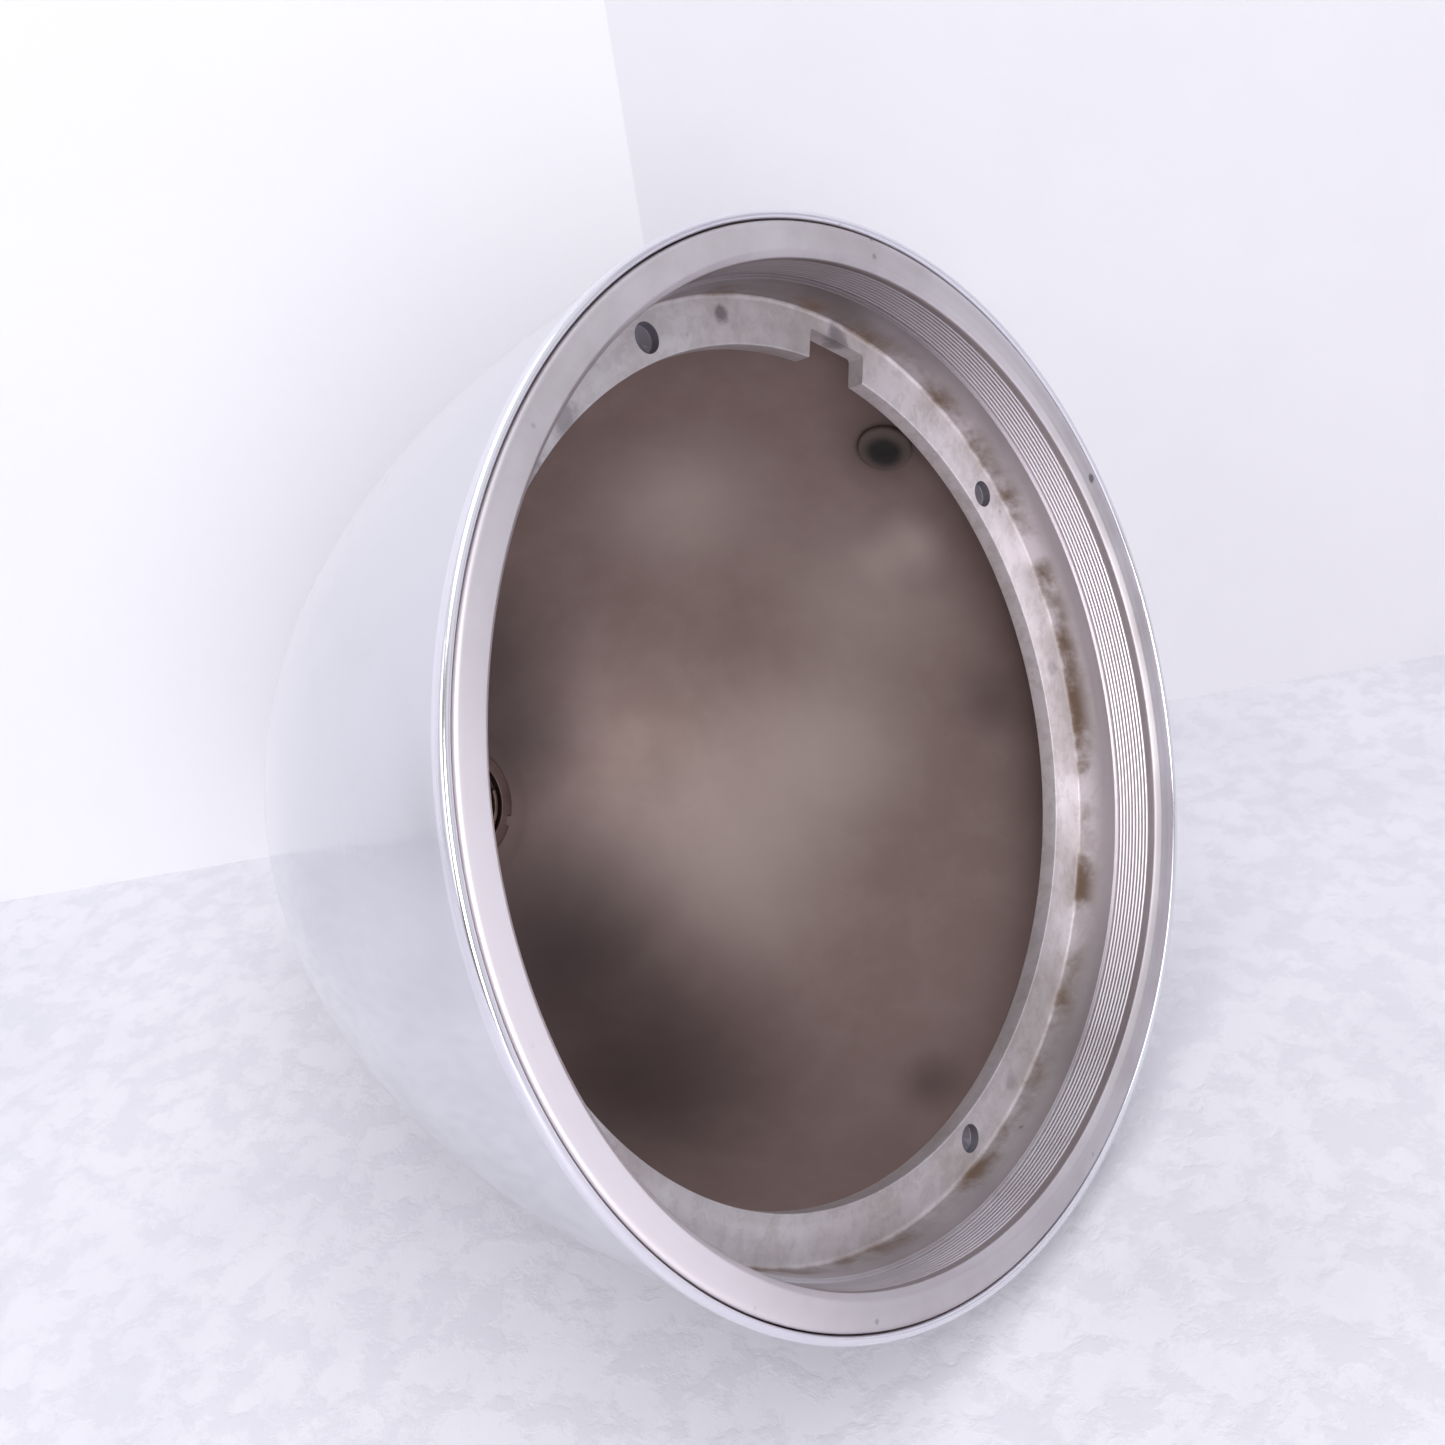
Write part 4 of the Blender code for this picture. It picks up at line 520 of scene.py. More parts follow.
@dataclass(frozen=True)
class MachinedRing(Finish):
    """Turned aluminium of the mouth ring, with dirt where the wall meets the ledge, painted highlights on the left of
    its face and the right of its inside, and painted shade on its upper inner walls.
    """

    dirt: Colour = (0.1, 0.06, 0.04)
    dirt_start: float = 9.0 * MM
    dirt_end: float = 15.6 * MM
    ledge_depth: float = 15.4 * MM
    lines: float = 2600.0
    stains: tuple[Patch, ...] = ()

    def draw(self, surface: Surface) -> None:
        """Anisotropic metal with lathe marks, stains, pits, a dirt band, painted highlights and painted shade."""
        place = surface.place
        turned = surface.group(GROUPS.turned_lines(), Place=place, Lines=self.lines)
        broad = surface.group(GROUPS.turned_lines(), Place=place, Lines=900.0)
        cloud = surface.group(GROUPS.mottle(), Place=place, Scale=45.0, Low=0.38, High=0.70).outputs["Mask"]
        pits = surface.group(GROUPS.specks(), Place=place, Scale=260.0, Size=0.16, Share=0.05).outputs["Mask"]
        base = surface.mix(surface.maths("MULTIPLY", broad.outputs["Bands"], 0.35), self.colour, tone(150, 145, 155))
        base = surface.mix(surface.maths("MULTIPLY", cloud, 0.45), base, tone(156, 146, 147))

        parts = surface.node("ShaderNodeSeparateXYZ")
        surface.feed(parts.inputs[0], place)
        depth = surface.maths("MULTIPLY", parts.outputs[2], -1.0)
        # Painted highlights: the left of the face and the right of the walls and ledge are painted lighter.
        left_face_highlight = surface.span(parts.outputs[0], -74.0 * MM, -40.0 * MM, 1.0, 0.0)
        right_inside_highlight = surface.span(parts.outputs[0], 25.0 * MM, 60.0 * MM, 0.0, 1.0)
        below_face = surface.span(depth, 0.5 * MM, 1.2 * MM, 0.0, 1.0)
        painted_highlight = surface.mix(below_face, left_face_highlight, right_inside_highlight)
        base = surface.mix(surface.maths("MULTIPLY", painted_highlight, 0.85), base, tone(240, 233, 238))
        # Painted shade: the upper inner walls above the ledge are painted darker.
        upper = surface.span(parts.outputs[1], 12.0 * MM, 62.0 * MM, 0.0, 1.0)
        on_thread = surface.span(depth, 0.9 * MM, 1.6 * MM, 0.0, 1.0)
        above_ledge = surface.maths("LESS_THAN", depth, self.ledge_depth - 0.5 * MM)
        painted_top_shade = surface.maths("MULTIPLY", surface.maths("MULTIPLY", upper, on_thread), above_ledge)
        base = surface.mix(surface.maths("MULTIPLY", painted_top_shade, 0.7), base, tone(122, 113, 114))
        far_in = surface.span(depth, self.dirt_start, self.dirt_end - 1.5 * MM, 0.0, 1.0)
        grime = surface.group(GROUPS.mottle(), Place=place, Scale=70.0, Low=0.40, High=0.62).outputs["Mask"]
        fine_grime = surface.group(GROUPS.mottle(), Place=place, Scale=420.0, Low=0.45, High=0.62).outputs["Mask"]
        on_wall = surface.span(depth, self.ledge_depth - 0.25 * MM, self.ledge_depth + 0.1 * MM, 1.0, 0.12)
        band = surface.maths("MULTIPLY", surface.maths("MULTIPLY", far_in, on_wall), surface.maths("MULTIPLY_ADD", grime, 0.85, 0.15))
        base = surface.mix(band, base, self.dirt)
        speckle = surface.maths("MULTIPLY", surface.maths("MULTIPLY", far_in, fine_grime), 0.16)
        base = surface.mix(speckle, base, self.dirt)
        for stain in self.stains:
            spot = surface.group(
                GROUPS.soft_spot(), Place=place, Centre=stain.centre(), Reach=stain.reach, Core=0.35, Rag=1.1, **{"Rag Scale": 520.0}
            )
            base = surface.mix(surface.maths("MULTIPLY", spot.outputs["Mask"], stain.strength), base, tone(84, 76, 82))
        base = surface.mix(surface.maths("MULTIPLY", pits, 0.7), base, tone(70, 62, 62))

        rough = surface.maths("MULTIPLY_ADD", turned.outputs["Bands"], 0.08, self.roughness)
        rough = surface.maths("MULTIPLY_ADD", band, 0.35, rough)
        rough = surface.maths("MULTIPLY_ADD", cloud, 0.06, rough)
        sheen = surface.span(depth, self.ledge_depth - 0.6 * MM, self.ledge_depth - 0.1 * MM, 0.80, 0.45)
        metallic = surface.maths("SUBTRACT", sheen, surface.maths("MULTIPLY", band, 0.6), clamp=True)
        surface.set(Base_Color=base, Roughness=rough, Metallic=metallic, Anisotropic=0.55)
        tangent = surface.node("ShaderNodeTangent", direction_type="RADIAL", axis="Z")
        surface.feed(surface.shader.inputs["Tangent"], tangent.outputs[0])
        under = surface.bump(turned.outputs["Height"], 0.16, 0.00004)
        surface.set(Normal=surface.bump(surface.maths("SUBTRACT", 1.0, pits), 0.4, 0.0001, under))


@dataclass(frozen=True)
class SatinMetal(Finish):
    """Worked metal with a grain, dull patches, hairlines and bright worn edges."""

    stretch: tuple[float, float, float] = (1.0, 1.0, 1.0)
    grain: float = 900.0
    tarnish: Colour = (0.2, 0.2, 0.2)
    tarnish_share: float = 0.4

    def draw(self, surface: Surface) -> None:
        """Metal with tarnish clouds under its grain."""
        place = surface.place
        cloud = surface.group(GROUPS.mottle(), Place=place, Scale=90.0, Low=0.38, High=0.68).outputs["Mask"]
        worn = surface.group(GROUPS.edge_wear(), Place=place, Scale=500.0).outputs["Mask"]
        hair = surface.group(GROUPS.scratches(), Place=place, Scale=260.0).outputs["Mask"]
        grain = surface.group(GROUPS.grain(), Place=place, Stretch=self.stretch, Scale=self.grain).outputs["Height"]
        base = surface.mix(surface.maths("MULTIPLY", cloud, self.tarnish_share), self.colour, self.tarnish)
        bright = tuple(min(part * 1.3, 0.95) for part in self.colour)
        base = surface.mix(surface.maths("MULTIPLY", worn, 0.7), base, bright)
        rough = surface.maths("MULTIPLY_ADD", cloud, 0.14, self.roughness)
        rough = surface.maths("MULTIPLY_ADD", hair, 0.1, rough)
        rough = surface.maths("SUBTRACT", rough, surface.maths("MULTIPLY", worn, 0.1))
        surface.set(Base_Color=base, Roughness=rough, Metallic=1.0)
        surface.set(Normal=surface.bump(grain, 0.12, 0.00006))


@dataclass(frozen=True)
class Moulding(Finish):
    """Dark pressed resin with a faint swirl of filler, a soft gloss, dust and worn edges."""

    swirl: Colour = (0.05, 0.03, 0.02)

    def draw(self, surface: Surface) -> None:
        """Glossy dark resin."""
        place = surface.place
        swirl = surface.group(GROUPS.mottle(), Place=place, Scale=130.0, Low=0.45, High=0.62).outputs["Mask"]
        dust = surface.group(GROUPS.mottle(), Place=place, Scale=700.0, Low=0.55, High=0.75).outputs["Mask"]
        worn = surface.group(GROUPS.edge_wear(), Place=place, Scale=450.0).outputs["Mask"]
        hair = surface.group(GROUPS.scratches(), Place=place, Scale=300.0).outputs["Mask"]
        grain = surface.group(GROUPS.grain(), Place=place, Scale=1500.0).outputs["Height"]
        base = surface.mix(surface.maths("MULTIPLY", swirl, 0.6), self.colour, self.swirl)
        base = surface.mix(surface.maths("MULTIPLY", dust, 0.08), base, tone(170, 160, 150))
        base = surface.mix(surface.maths("MULTIPLY", worn, 0.35), base, tone(96, 78, 66))
        rough = surface.maths("MULTIPLY_ADD", swirl, 0.06, self.roughness)
        rough = surface.maths("MULTIPLY_ADD", hair, 0.18, rough)
        rough = surface.maths("MULTIPLY_ADD", dust, 0.2, rough)
        surface.set(Base_Color=base, Roughness=rough, Metallic=0.0)
        surface.set(Normal=surface.bump(grain, 0.08, 0.00005))


@dataclass(frozen=True)
class Fibre(Finish):
    """Hard red-brown vulcanised fibre: pressed layers with short hairs."""

    def draw(self, surface: Surface) -> None:
        """Layered matt board."""
        place = surface.place
        layers = surface.group(GROUPS.grain(), Place=place, Stretch=(1.0, 6.0, 1.0), Scale=600.0).outputs["Height"]
        cloud = surface.group(GROUPS.mottle(), Place=place, Scale=160.0, Low=0.4, High=0.66).outputs["Mask"]
        hair = surface.group(GROUPS.scratches(), Place=place, Scale=700.0).outputs["Mask"]
        base = surface.mix(surface.maths("MULTIPLY", cloud, 0.5), self.colour, tuple(part * 0.55 for part in self.colour))
        base = surface.mix(surface.maths("MULTIPLY", hair, 0.3), base, tone(150, 96, 74))
        surface.set(Base_Color=base, Roughness=surface.maths("MULTIPLY_ADD", cloud, 0.12, self.roughness))
        surface.set(Normal=surface.bump(layers, 0.25, 0.00008))


@dataclass(frozen=True)
class Rubber(Finish):
    """Dull black rubber, greyed with dust, its inner flange clouded by the bell's oxide."""

    core: float = 2.0 * MM
    flange: float = 4.6 * MM

    def draw(self, surface: Surface) -> None:
        """Matt rubber with a chalky bloom."""
        place = surface.place
        bloom = surface.group(GROUPS.mottle(), Place=place, Scale=240.0, Low=0.4, High=0.7).outputs["Mask"]
        grain = surface.group(GROUPS.grain(), Place=place, Scale=2200.0).outputs["Height"]
        base = surface.mix(surface.maths("MULTIPLY", bloom, 0.12), self.colour, tone(120, 114, 110))
        parts = surface.node("ShaderNodeSeparateXYZ")
        surface.feed(parts.inputs[0], place)
        flat = surface.vector("MULTIPLY", place, (1.0, 1.0, 0.0)).outputs["Vector"]
        away = surface.span(surface.vector("LENGTH", flat).outputs["Value"], self.core, self.flange, 0.0, 0.9)
        inner = surface.maths("LESS_THAN", parts.outputs[2], -1.0 * MM)
        base = surface.mix(surface.maths("MULTIPLY", away, inner), base, tone(112, 97, 94))
        surface.set(Base_Color=base, Roughness=surface.maths("MULTIPLY_ADD", bloom, 0.1, self.roughness))
        surface.set(Normal=surface.bump(grain, 0.3, 0.00008))


@dataclass(frozen=True)
class CoveredWire(Finish):
    """Braided cotton over a thin wire."""

    def draw(self, surface: Surface) -> None:
        """Two crossing sets of ridges for the braid."""
        place = surface.place
        ridges = []
        for slant in (1.0, -1.0):
            laid = surface.node("ShaderNodeMapping")
            surface.feed(laid.inputs["Vector"], place)
            laid.inputs["Rotation"].default_value = (slant * 0.8, slant * 0.5, 0.0)
            wave = surface.node("ShaderNodeTexWave", wave_type="BANDS", bands_direction="Z")
            surface.feed(wave.inputs["Vector"], laid.outputs[0])
            surface.feed(wave.inputs["Scale"], 900.0)
            surface.feed(wave.inputs["Distortion"], 0.6)
            ridges.append(wave.outputs[0])
        braid = surface.maths("MAXIMUM", ridges[0], ridges[1])
        cloud = surface.group(GROUPS.mottle(), Place=place, Scale=300.0, Low=0.4, High=0.66).outputs["Mask"]
        base = surface.mix(surface.maths("MULTIPLY", braid, 0.4), tuple(part * 0.5 for part in self.colour), self.colour)
        base = surface.mix(surface.maths("MULTIPLY", cloud, 0.25), base, tone(60, 30, 26))
        surface.set(Base_Color=base, Roughness=surface.maths("MULTIPLY_ADD", cloud, 0.1, self.roughness))
        surface.set(Normal=surface.bump(braid, 0.6, 0.0001))


@dataclass(frozen=True)
class Board(Finish):
    """White backdrop board or table top with a hardly seen cloud."""

    shade: Colour = (0.7, 0.7, 0.7)
    cloud_scale: float = 12.0
    cloud_share: float = 0.2
    fine_share: float = 0.4
    tooth: float = 0.05
    one_sided: bool = False

    def draw(self, surface: Surface) -> None:
        """Matt white, with its back left clear where it is one-sided."""
        place = surface.place
        cloud = surface.group(GROUPS.mottle(), Place=place, Scale=self.cloud_scale, Low=0.35, High=0.7).outputs["Mask"]
        fine = surface.group(GROUPS.mottle(), Place=place, Scale=self.cloud_scale * 9.0, Low=0.42, High=0.6).outputs["Mask"]
        base = surface.mix(surface.maths("MULTIPLY", cloud, self.cloud_share), self.colour, self.shade)
        base = surface.mix(surface.maths("MULTIPLY", fine, self.cloud_share * self.fine_share), base, self.shade)
        surface.set(Base_Color=base, Roughness=self.roughness)
        surface.set(Normal=surface.bump(fine, self.tooth, 0.0004))
        if self.one_sided:
            clear = surface.node("ShaderNodeBsdfTransparent")
            either = surface.node("ShaderNodeMixShader")
            facing = surface.node("ShaderNodeNewGeometry").outputs["Backfacing"]
            surface.feed(either.inputs[0], facing)
            surface.feed(either.inputs[1], surface.shader.outputs[0])
            surface.feed(either.inputs[2], clear.outputs[0])
            surface.feed(surface.tree.nodes["Material Output"].inputs["Surface"], either.outputs[0])


# Painted reflections inside the bell, from brightest to faintest, then the patches of painted shade.
PAINTED_REFLECTIONS = (
    Patch(81.0 * MM, -40.0, 51.0 * MM, 36.0 * MM, 0.60),
    Patch(100.0 * MM, -46.0, 32.0 * MM, 20.0 * MM, 0.12),
    Patch(67.0 * MM, 38.0, 59.0 * MM, 26.0 * MM, 0.55),
    Patch(66.0 * MM, -20.0, 60.0 * MM, 28.0 * MM, 0.65),
    Patch(50.0 * MM, 5.0, 64.0 * MM, 26.0 * MM, 0.45),
    Patch(37.0 * MM, 11.0, 69.0 * MM, 9.0 * MM, 0.60),
    Patch(44.0 * MM, 10.0, 67.0 * MM, 8.0 * MM, 0.35),
)
PAINTED_SHADES = (
    Patch(100.0 * MM, -86.0, 34.0 * MM, 36.0 * MM, 0.90),
    Patch(77.0 * MM, -100.0, 54.0 * MM, 40.0 * MM, 0.85),
    Patch(106.0 * MM, 60.0, 24.0 * MM, 34.0 * MM, 0.80),
    Patch(90.0 * MM, 100.0, 44.0 * MM, 30.0 * MM, 0.50),
    Patch(106.0 * MM, 8.0, 21.0 * MM, 16.0 * MM, 0.45),
    Patch(32.0 * MM, -16.0, 70.0 * MM, 10.0 * MM, 0.40),
    Patch(34.0 * MM, -77.0, 69.5 * MM, 9.0 * MM, 0.50),
    Patch(31.0 * MM, 28.0, 70.0 * MM, 12.0 * MM, 0.55),
)
STAINS = (
    Patch(15.4 * MM, 76.0, 66.5 * MM, 1.8 * MM, 0.75),
    Patch(15.4 * MM, 118.0, 66.0 * MM, 7.0 * MM, 0.65),
    Patch(15.4 * MM, 108.0, 64.0 * MM, 3.4 * MM, 0.50),
    Patch(15.4 * MM, 100.0, 67.8 * MM, 2.4 * MM, 0.60),
    Patch(15.4 * MM, 133.0, 66.5 * MM, 4.0 * MM, 0.45),
    Patch(15.4 * MM, 54.0, 67.0 * MM, 3.2 * MM, 0.60),
    Patch(15.4 * MM, -12.0, 66.0 * MM, 2.0 * MM, 0.30),
    Patch(15.4 * MM, -78.0, 66.4 * MM, 2.4 * MM, 0.30),
    Patch(0.0, 13.0, 72.8 * MM, 1.1 * MM, 0.85),
    Patch(0.0, 62.0, 72.0 * MM, 0.7 * MM, 0.45),
    Patch(0.0, -128.0, 73.4 * MM, 0.6 * MM, 0.40),
)

BELL_OUTSIDE = PolishedMetal("polished_bell", (0.70, 0.70, 0.735), 0.09)
BELL_LIP = PolishedMetal("polished_lip", (0.80, 0.79, 0.84), 0.12, haze=0.08, pits=0.12)
BELL_INSIDE = TarnishedInsideWithPaintedLight(
    "oxidised_inside_with_painted_light", tone(150, 131, 127), 0.54, tone(206, 191, 187), tone(80, 66, 69), PAINTED_REFLECTIONS, PAINTED_SHADES
)
RING_METAL = MachinedRing("turned_ring", tone(198, 193, 197), 0.36, tone(112, 92, 78), stains=STAINS)
PIN_HOLE = SatinMetal("pin_hole_floor", tone(150, 146, 154), 0.6, tarnish=tone(104, 98, 104))
NUT_METAL = SatinMetal("oxidised_nut", tone(122, 104, 100), 0.46, tarnish=tone(78, 64, 62))
DULL_ALUMINIUM = SatinMetal(
    "dull_aluminium", tone(178, 176, 182), 0.42, stretch=(6.0, 1.0, 1.0), tarnish=tone(120, 116, 120), tarnish_share=0.45
)
PLATED_STEEL = SatinMetal("plated_steel", tone(186, 184, 186), 0.26, tarnish=tone(120, 112, 106), tarnish_share=0.35)
SPRING_STEEL = SatinMetal("spring_steel", tone(132, 132, 138), 0.32, tarnish=tone(88, 78, 70), tarnish_share=0.4)
OLD_BRASS = SatinMetal("tarnished_brass", tone(128, 110, 100), 0.5, tarnish=tone(84, 72, 66), tarnish_share=0.7)
BRASS = SatinMetal("brass", tone(186, 154, 92), 0.30, tarnish=tone(112, 86, 52), tarnish_share=0.55)
RESIN = Moulding("dark_resin", tone(34, 29, 28), 0.26, tone(60, 42, 34))
INLET_RESIN = Moulding("brown_resin", tone(62, 38, 28), 0.34, tone(92, 58, 40))
RED_FIBRE = Fibre("red_fibre", tone(112, 58, 42), 0.62)
BLACK_RUBBER = Rubber("black_rubber", tone(30, 28, 29), 0.78)
COTTON_WIRE = CoveredWire("cotton_wire", tone(146, 44, 38), 0.8)
TABLE_TOP = Board("table_top", tone(226, 225, 231), 0.7, tone(200, 199, 208), 18.0, 0.32, 1.0, 0.25)
LEFT_BOARD = Board("left_board", tone(235, 235, 240), 0.8, tone(230, 230, 237), 3.0, 0.3, one_sided=True)
# The right board is painted darker than the left: painted shade.
RIGHT_BOARD_PAINTED_SHADE = Board("right_board_painted_shade", tone(226, 225, 231), 0.8, tone(216, 215, 223), 3.0, 0.3, one_sided=True)


# ---------------------------------------------------------------- meshes


def fillet(corners: Iterable[tuple[float, float, float]], closed: bool = True, steps: int = 5) -> list[Point]:
    """Round the corners of a profile.

    Args:
        corners: Radius, depth and how far the rounding reaches along both sides.
        closed: Whether the last corner joins the first.
        steps: Facets in each rounding.

    Returns:
        The profile as (radius, depth) points.
    """
    given = list(corners)
    points: list[Point] = []
    for index, (radius, depth, reach) in enumerate(given):
        here = Vector((radius, depth))
        at_end = not closed and index in (0, len(given) - 1)
        if reach <= 0.0 or at_end:
            points.append((radius, depth))
            continue
        before = Vector(given[index - 1][:2]) - here
        after = Vector(given[(index + 1) % len(given)][:2]) - here
        start = here + before.normalized() * min(reach, before.length * 0.49)
        end = here + after.normalized() * min(reach, after.length * 0.49)
        for step in range(steps + 1):
            share = step / steps
            place = start * (1.0 - share) ** 2 + here * 2.0 * share * (1.0 - share) + end * share**2
            points.append((place.x, place.y))
    return points


def curve_points(start: Point, pull: Point, pull_end: Point, end: Point, steps: int) -> list[Point]:
    """Points along a cubic curve between two profile points."""
    made = []
    for step in range(steps + 1):
        share = step / steps
        rest = 1.0 - share
        weights = (rest**3, 3.0 * rest**2 * share, 3.0 * rest * share**2, share**3)
        corners = (start, pull, pull_end, end)
        made.append(
            (
                sum(weight * corner[0] for weight, corner in zip(weights, corners)),
                sum(weight * corner[1] for weight, corner in zip(weights, corners)),
            )
        )
    return made


def finish_mesh(work: bmesh.types.BMesh, name: str, finishes: Sequence[Finish], sharp: float = 32.0) -> bpy.types.Mesh:
    """Turn drawn faces into a smooth-shaded mesh with its materials.

    Args:
        work: The drawn faces, freed here.
        name: Name of the mesh.
        finishes: One finish for each material index.
        sharp: Edges that turn more than this many degrees stay sharp.

    Returns:
        The mesh.
    """
    bmesh.ops.recalc_face_normals(work, faces=work.faces)
    mesh = bpy.data.meshes.new(name)
    work.to_mesh(mesh)
    work.free()
    for finish in finishes:
        mesh.materials.append(finish.material())
    mesh.shade_smooth()
    mesh.set_sharp_from_angle(angle=math.radians(sharp))
    return mesh


def lathe(
    name: str,
    profile: Sequence[Point],
    steps: int,
    finishes: Sequence[Finish],
    closed: bool = True,
    zones: Optional[Sequence[int]] = None,
    reach_at: Optional[Callable[[float, float], float]] = None,
) -> bpy.types.Mesh:
    """Turn a profile once round local Z.

    Args:
        name: Name of the mesh.
        profile: Points as (radius, depth).
        steps: Facets once round.
        finishes: One finish for each zone.
        closed: Whether the last point joins the first.
        zones: Index of the finish for each stretch of the profile.
        reach_at: Gives the radius to use from the profile's radius and the angle.

    Returns:
        The turned mesh.
    """
    work = bmesh.new()
    rings = []
    for radius, depth in profile:
        if radius < 1e-7:
            rings.append([work.verts.new((0.0, 0.0, -depth))])
            continue
        ring = []
        for step in range(steps):
            angle = math.tau * step / steps
            reach = reach_at(radius, angle) if reach_at else radius
            ring.append(work.verts.new((reach * math.cos(angle), reach * math.sin(angle), -depth)))
        rings.append(ring)
    pairs = list(zip(rings, rings[1:]))
    if closed:
        pairs.append((rings[-1], rings[0]))
    for index, (first, second) in enumerate(pairs):
        for step in range(steps):
            after = step + 1
            corners = [first[step % len(first)], first[after % len(first)]]
            corners += [second[after % len(second)], second[step % len(second)]]
            unique = list(dict.fromkeys(corners))
            if len(unique) > 2:
                face = work.faces.new(unique)
                face.material_index = zones[index] if zones else 0
    return finish_mesh(work, name, finishes)


def rod(name: str, radius: float, length: float, steps: int, finish: Finish) -> bpy.types.Mesh:
    """A straight rod from the origin along +Z."""
    profile = [(0.0, -length), (radius, -length), (radius, 0.0), (0.0, 0.0)]
    return lathe(name, profile, steps, [finish], closed=False)


def block(name: str, size: Sequence[float], finish: Finish, edge: float = 0.0) -> bpy.types.Mesh:
    """A block centred on its origin, its edges rounded by edge."""
    work = bmesh.new()
    bmesh.ops.create_cube(work, size=1.0)
    bmesh.ops.scale(work, vec=size, verts=work.verts)
    if edge > 0.0:
        bmesh.ops.bevel(work, geom=list(work.edges), offset=edge, segments=4, profile=0.5, affect="EDGES")
    return finish_mesh(work, name, [finish])


def slab(name: str, outline: Sequence[Point], thickness: float, finish: Finish) -> bpy.types.Mesh:
    """A flat outline in X and Y, thickened evenly about z = 0."""
    work = bmesh.new()
    low = [work.verts.new((x, y, -thickness / 2.0)) for x, y in outline]
    high = [work.verts.new((x, y, thickness / 2.0)) for x, y in outline]
    work.faces.new(low)
    work.faces.new(high)
    for index in range(len(outline)):
        after = (index + 1) % len(outline)
        work.faces.new((low[index], low[after], high[after], high[index]))
    return finish_mesh(work, name, [finish])


def tongue(radius: float, length: float, steps: int = 32) -> list[Point]:
    """Outline of a round nose about the origin, with straight sides up to a length."""
    outline = [(radius, length), (-radius, length)]
    for step in range(steps + 1):
        angle = math.pi * (1.0 + step / steps)
        outline.append((radius * math.cos(angle), radius * math.sin(angle)))
    return outline


def rounded_rectangle(width: float, length: float, corner: float, steps: int = 10) -> list[Point]:
    """Outline of a rectangle with quarter-round corners, centred on the origin."""
    outline = []
    for quarter, (side_x, side_y) in enumerate(((1, 1), (-1, 1), (-1, -1), (1, -1))):
        for step in range(steps + 1):
            angle = (quarter + step / steps) * math.pi / 2.0
            x = side_x * (width / 2.0 - corner) + corner * math.cos(angle)
            y = side_y * (length / 2.0 - corner) + corner * math.sin(angle)
            outline.append((x, y))
    return outline


def shaped(
    name: str,
    base: bpy.types.Mesh,
    tools: Sequence[tuple[bpy.types.Mesh, Matrix]],
    operation: str = "DIFFERENCE",
    sharp: float = 32.0,
) -> bpy.types.Mesh:
    """Cut tools out of a mesh, or join them to it.

    Args:
        name: Name of the result.
        base: The mesh to work on.
        tools: Each tool's mesh and where it stands.
        operation: DIFFERENCE or UNION.
        sharp: Edges that turn more than this many degrees stay sharp.

    Returns:
        The result as a new mesh.
    """
    collection = bpy.context.scene.collection
    holder = bpy.data.objects.new(name, base)
    collection.objects.link(holder)
    helpers = [holder]
    for mesh, matrix in tools:
        helper = bpy.data.objects.new(mesh.name, mesh)
        collection.objects.link(helper)
        helper.matrix_world = matrix
        helpers.append(helper)
        boolean = holder.modifiers.new(mesh.name, "BOOLEAN")
        boolean.operation = operation
        boolean.solver = "EXACT"
        boolean.material_mode = "TRANSFER"
        boolean.object = helper
    bpy.context.view_layer.update()
    made = bpy.data.meshes.new_from_object(holder.evaluated_get(bpy.context.evaluated_depsgraph_get()))
    for helper in helpers:
        bpy.data.objects.remove(helper, do_unlink=True)
    made.name = name
    made.shade_smooth()
    made.set_sharp_from_angle(angle=math.radians(sharp))
    return made


def helix(name: str, radius: float, wire: float, start: float, end: float, turns: float, finish: Finish) -> bpy.types.Mesh:
    """A compression spring whose end turns lie flat.

    Args:
        name: Name of the mesh.
        radius: Radius of the coil's middle line.
        wire: Radius of the wire.
        start: Depth of its front face.
        end: Depth of its back face.
        turns: Turns in all.
        finish: Its finish.

    Returns:
        The spring's mesh.
    """
    around = 10
    per_turn = 40
    count = int(turns * per_turn)
    work = bmesh.new()
    rings = []
    for index in range(count + 1):
        share = index / count
        turn = share * turns
        rise = min(max((turn - 0.75) / (turns - 1.5), 0.0), 1.0)
        rest = (share - 0.5) * 2.0 * wire * 1.6
        middle = start + wire + (end - start - 2.0 * wire) * rise
        depth = min(max(middle + rest * (1.0 if 0.0 < rise < 1.0 else 0.4), start + wire), end - wire)
        angle = math.tau * turn
        outward = Vector((math.cos(angle), math.sin(angle), 0.0))
        centre = outward * radius + Vector((0.0, 0.0, -depth))
        ring = []
        for step in range(around):
            bend = math.tau * step / around
            ring.append(work.verts.new(centre + outward * wire * math.cos(bend) + Vector((0.0, 0.0, wire * math.sin(bend)))))
        rings.append(ring)
    for first, second in zip(rings, rings[1:]):
        for step in range(around):
            after = (step + 1) % around
            work.faces.new((first[step], first[after], second[after], second[step]))
    work.faces.new(rings[0])
    work.faces.new(rings[-1])
    return finish_mesh(work, name, [finish], 60.0)


def turned_out(angle: float) -> Matrix:
    """Local +Z turned to point away from the head's axis at an angle from +X."""
    return Matrix.Rotation(angle, 4, "Z") @ Matrix.Rotation(math.pi / 2.0, 4, "Y")


def back(depth: float) -> Matrix:
    """A step back along the head's axis."""
    return Matrix.Translation((0.0, 0.0, -depth))


ACROSS = Matrix.Rotation(math.pi / 2.0, 4, "Y")


# ---------------------------------------------------------------- frames and the bench


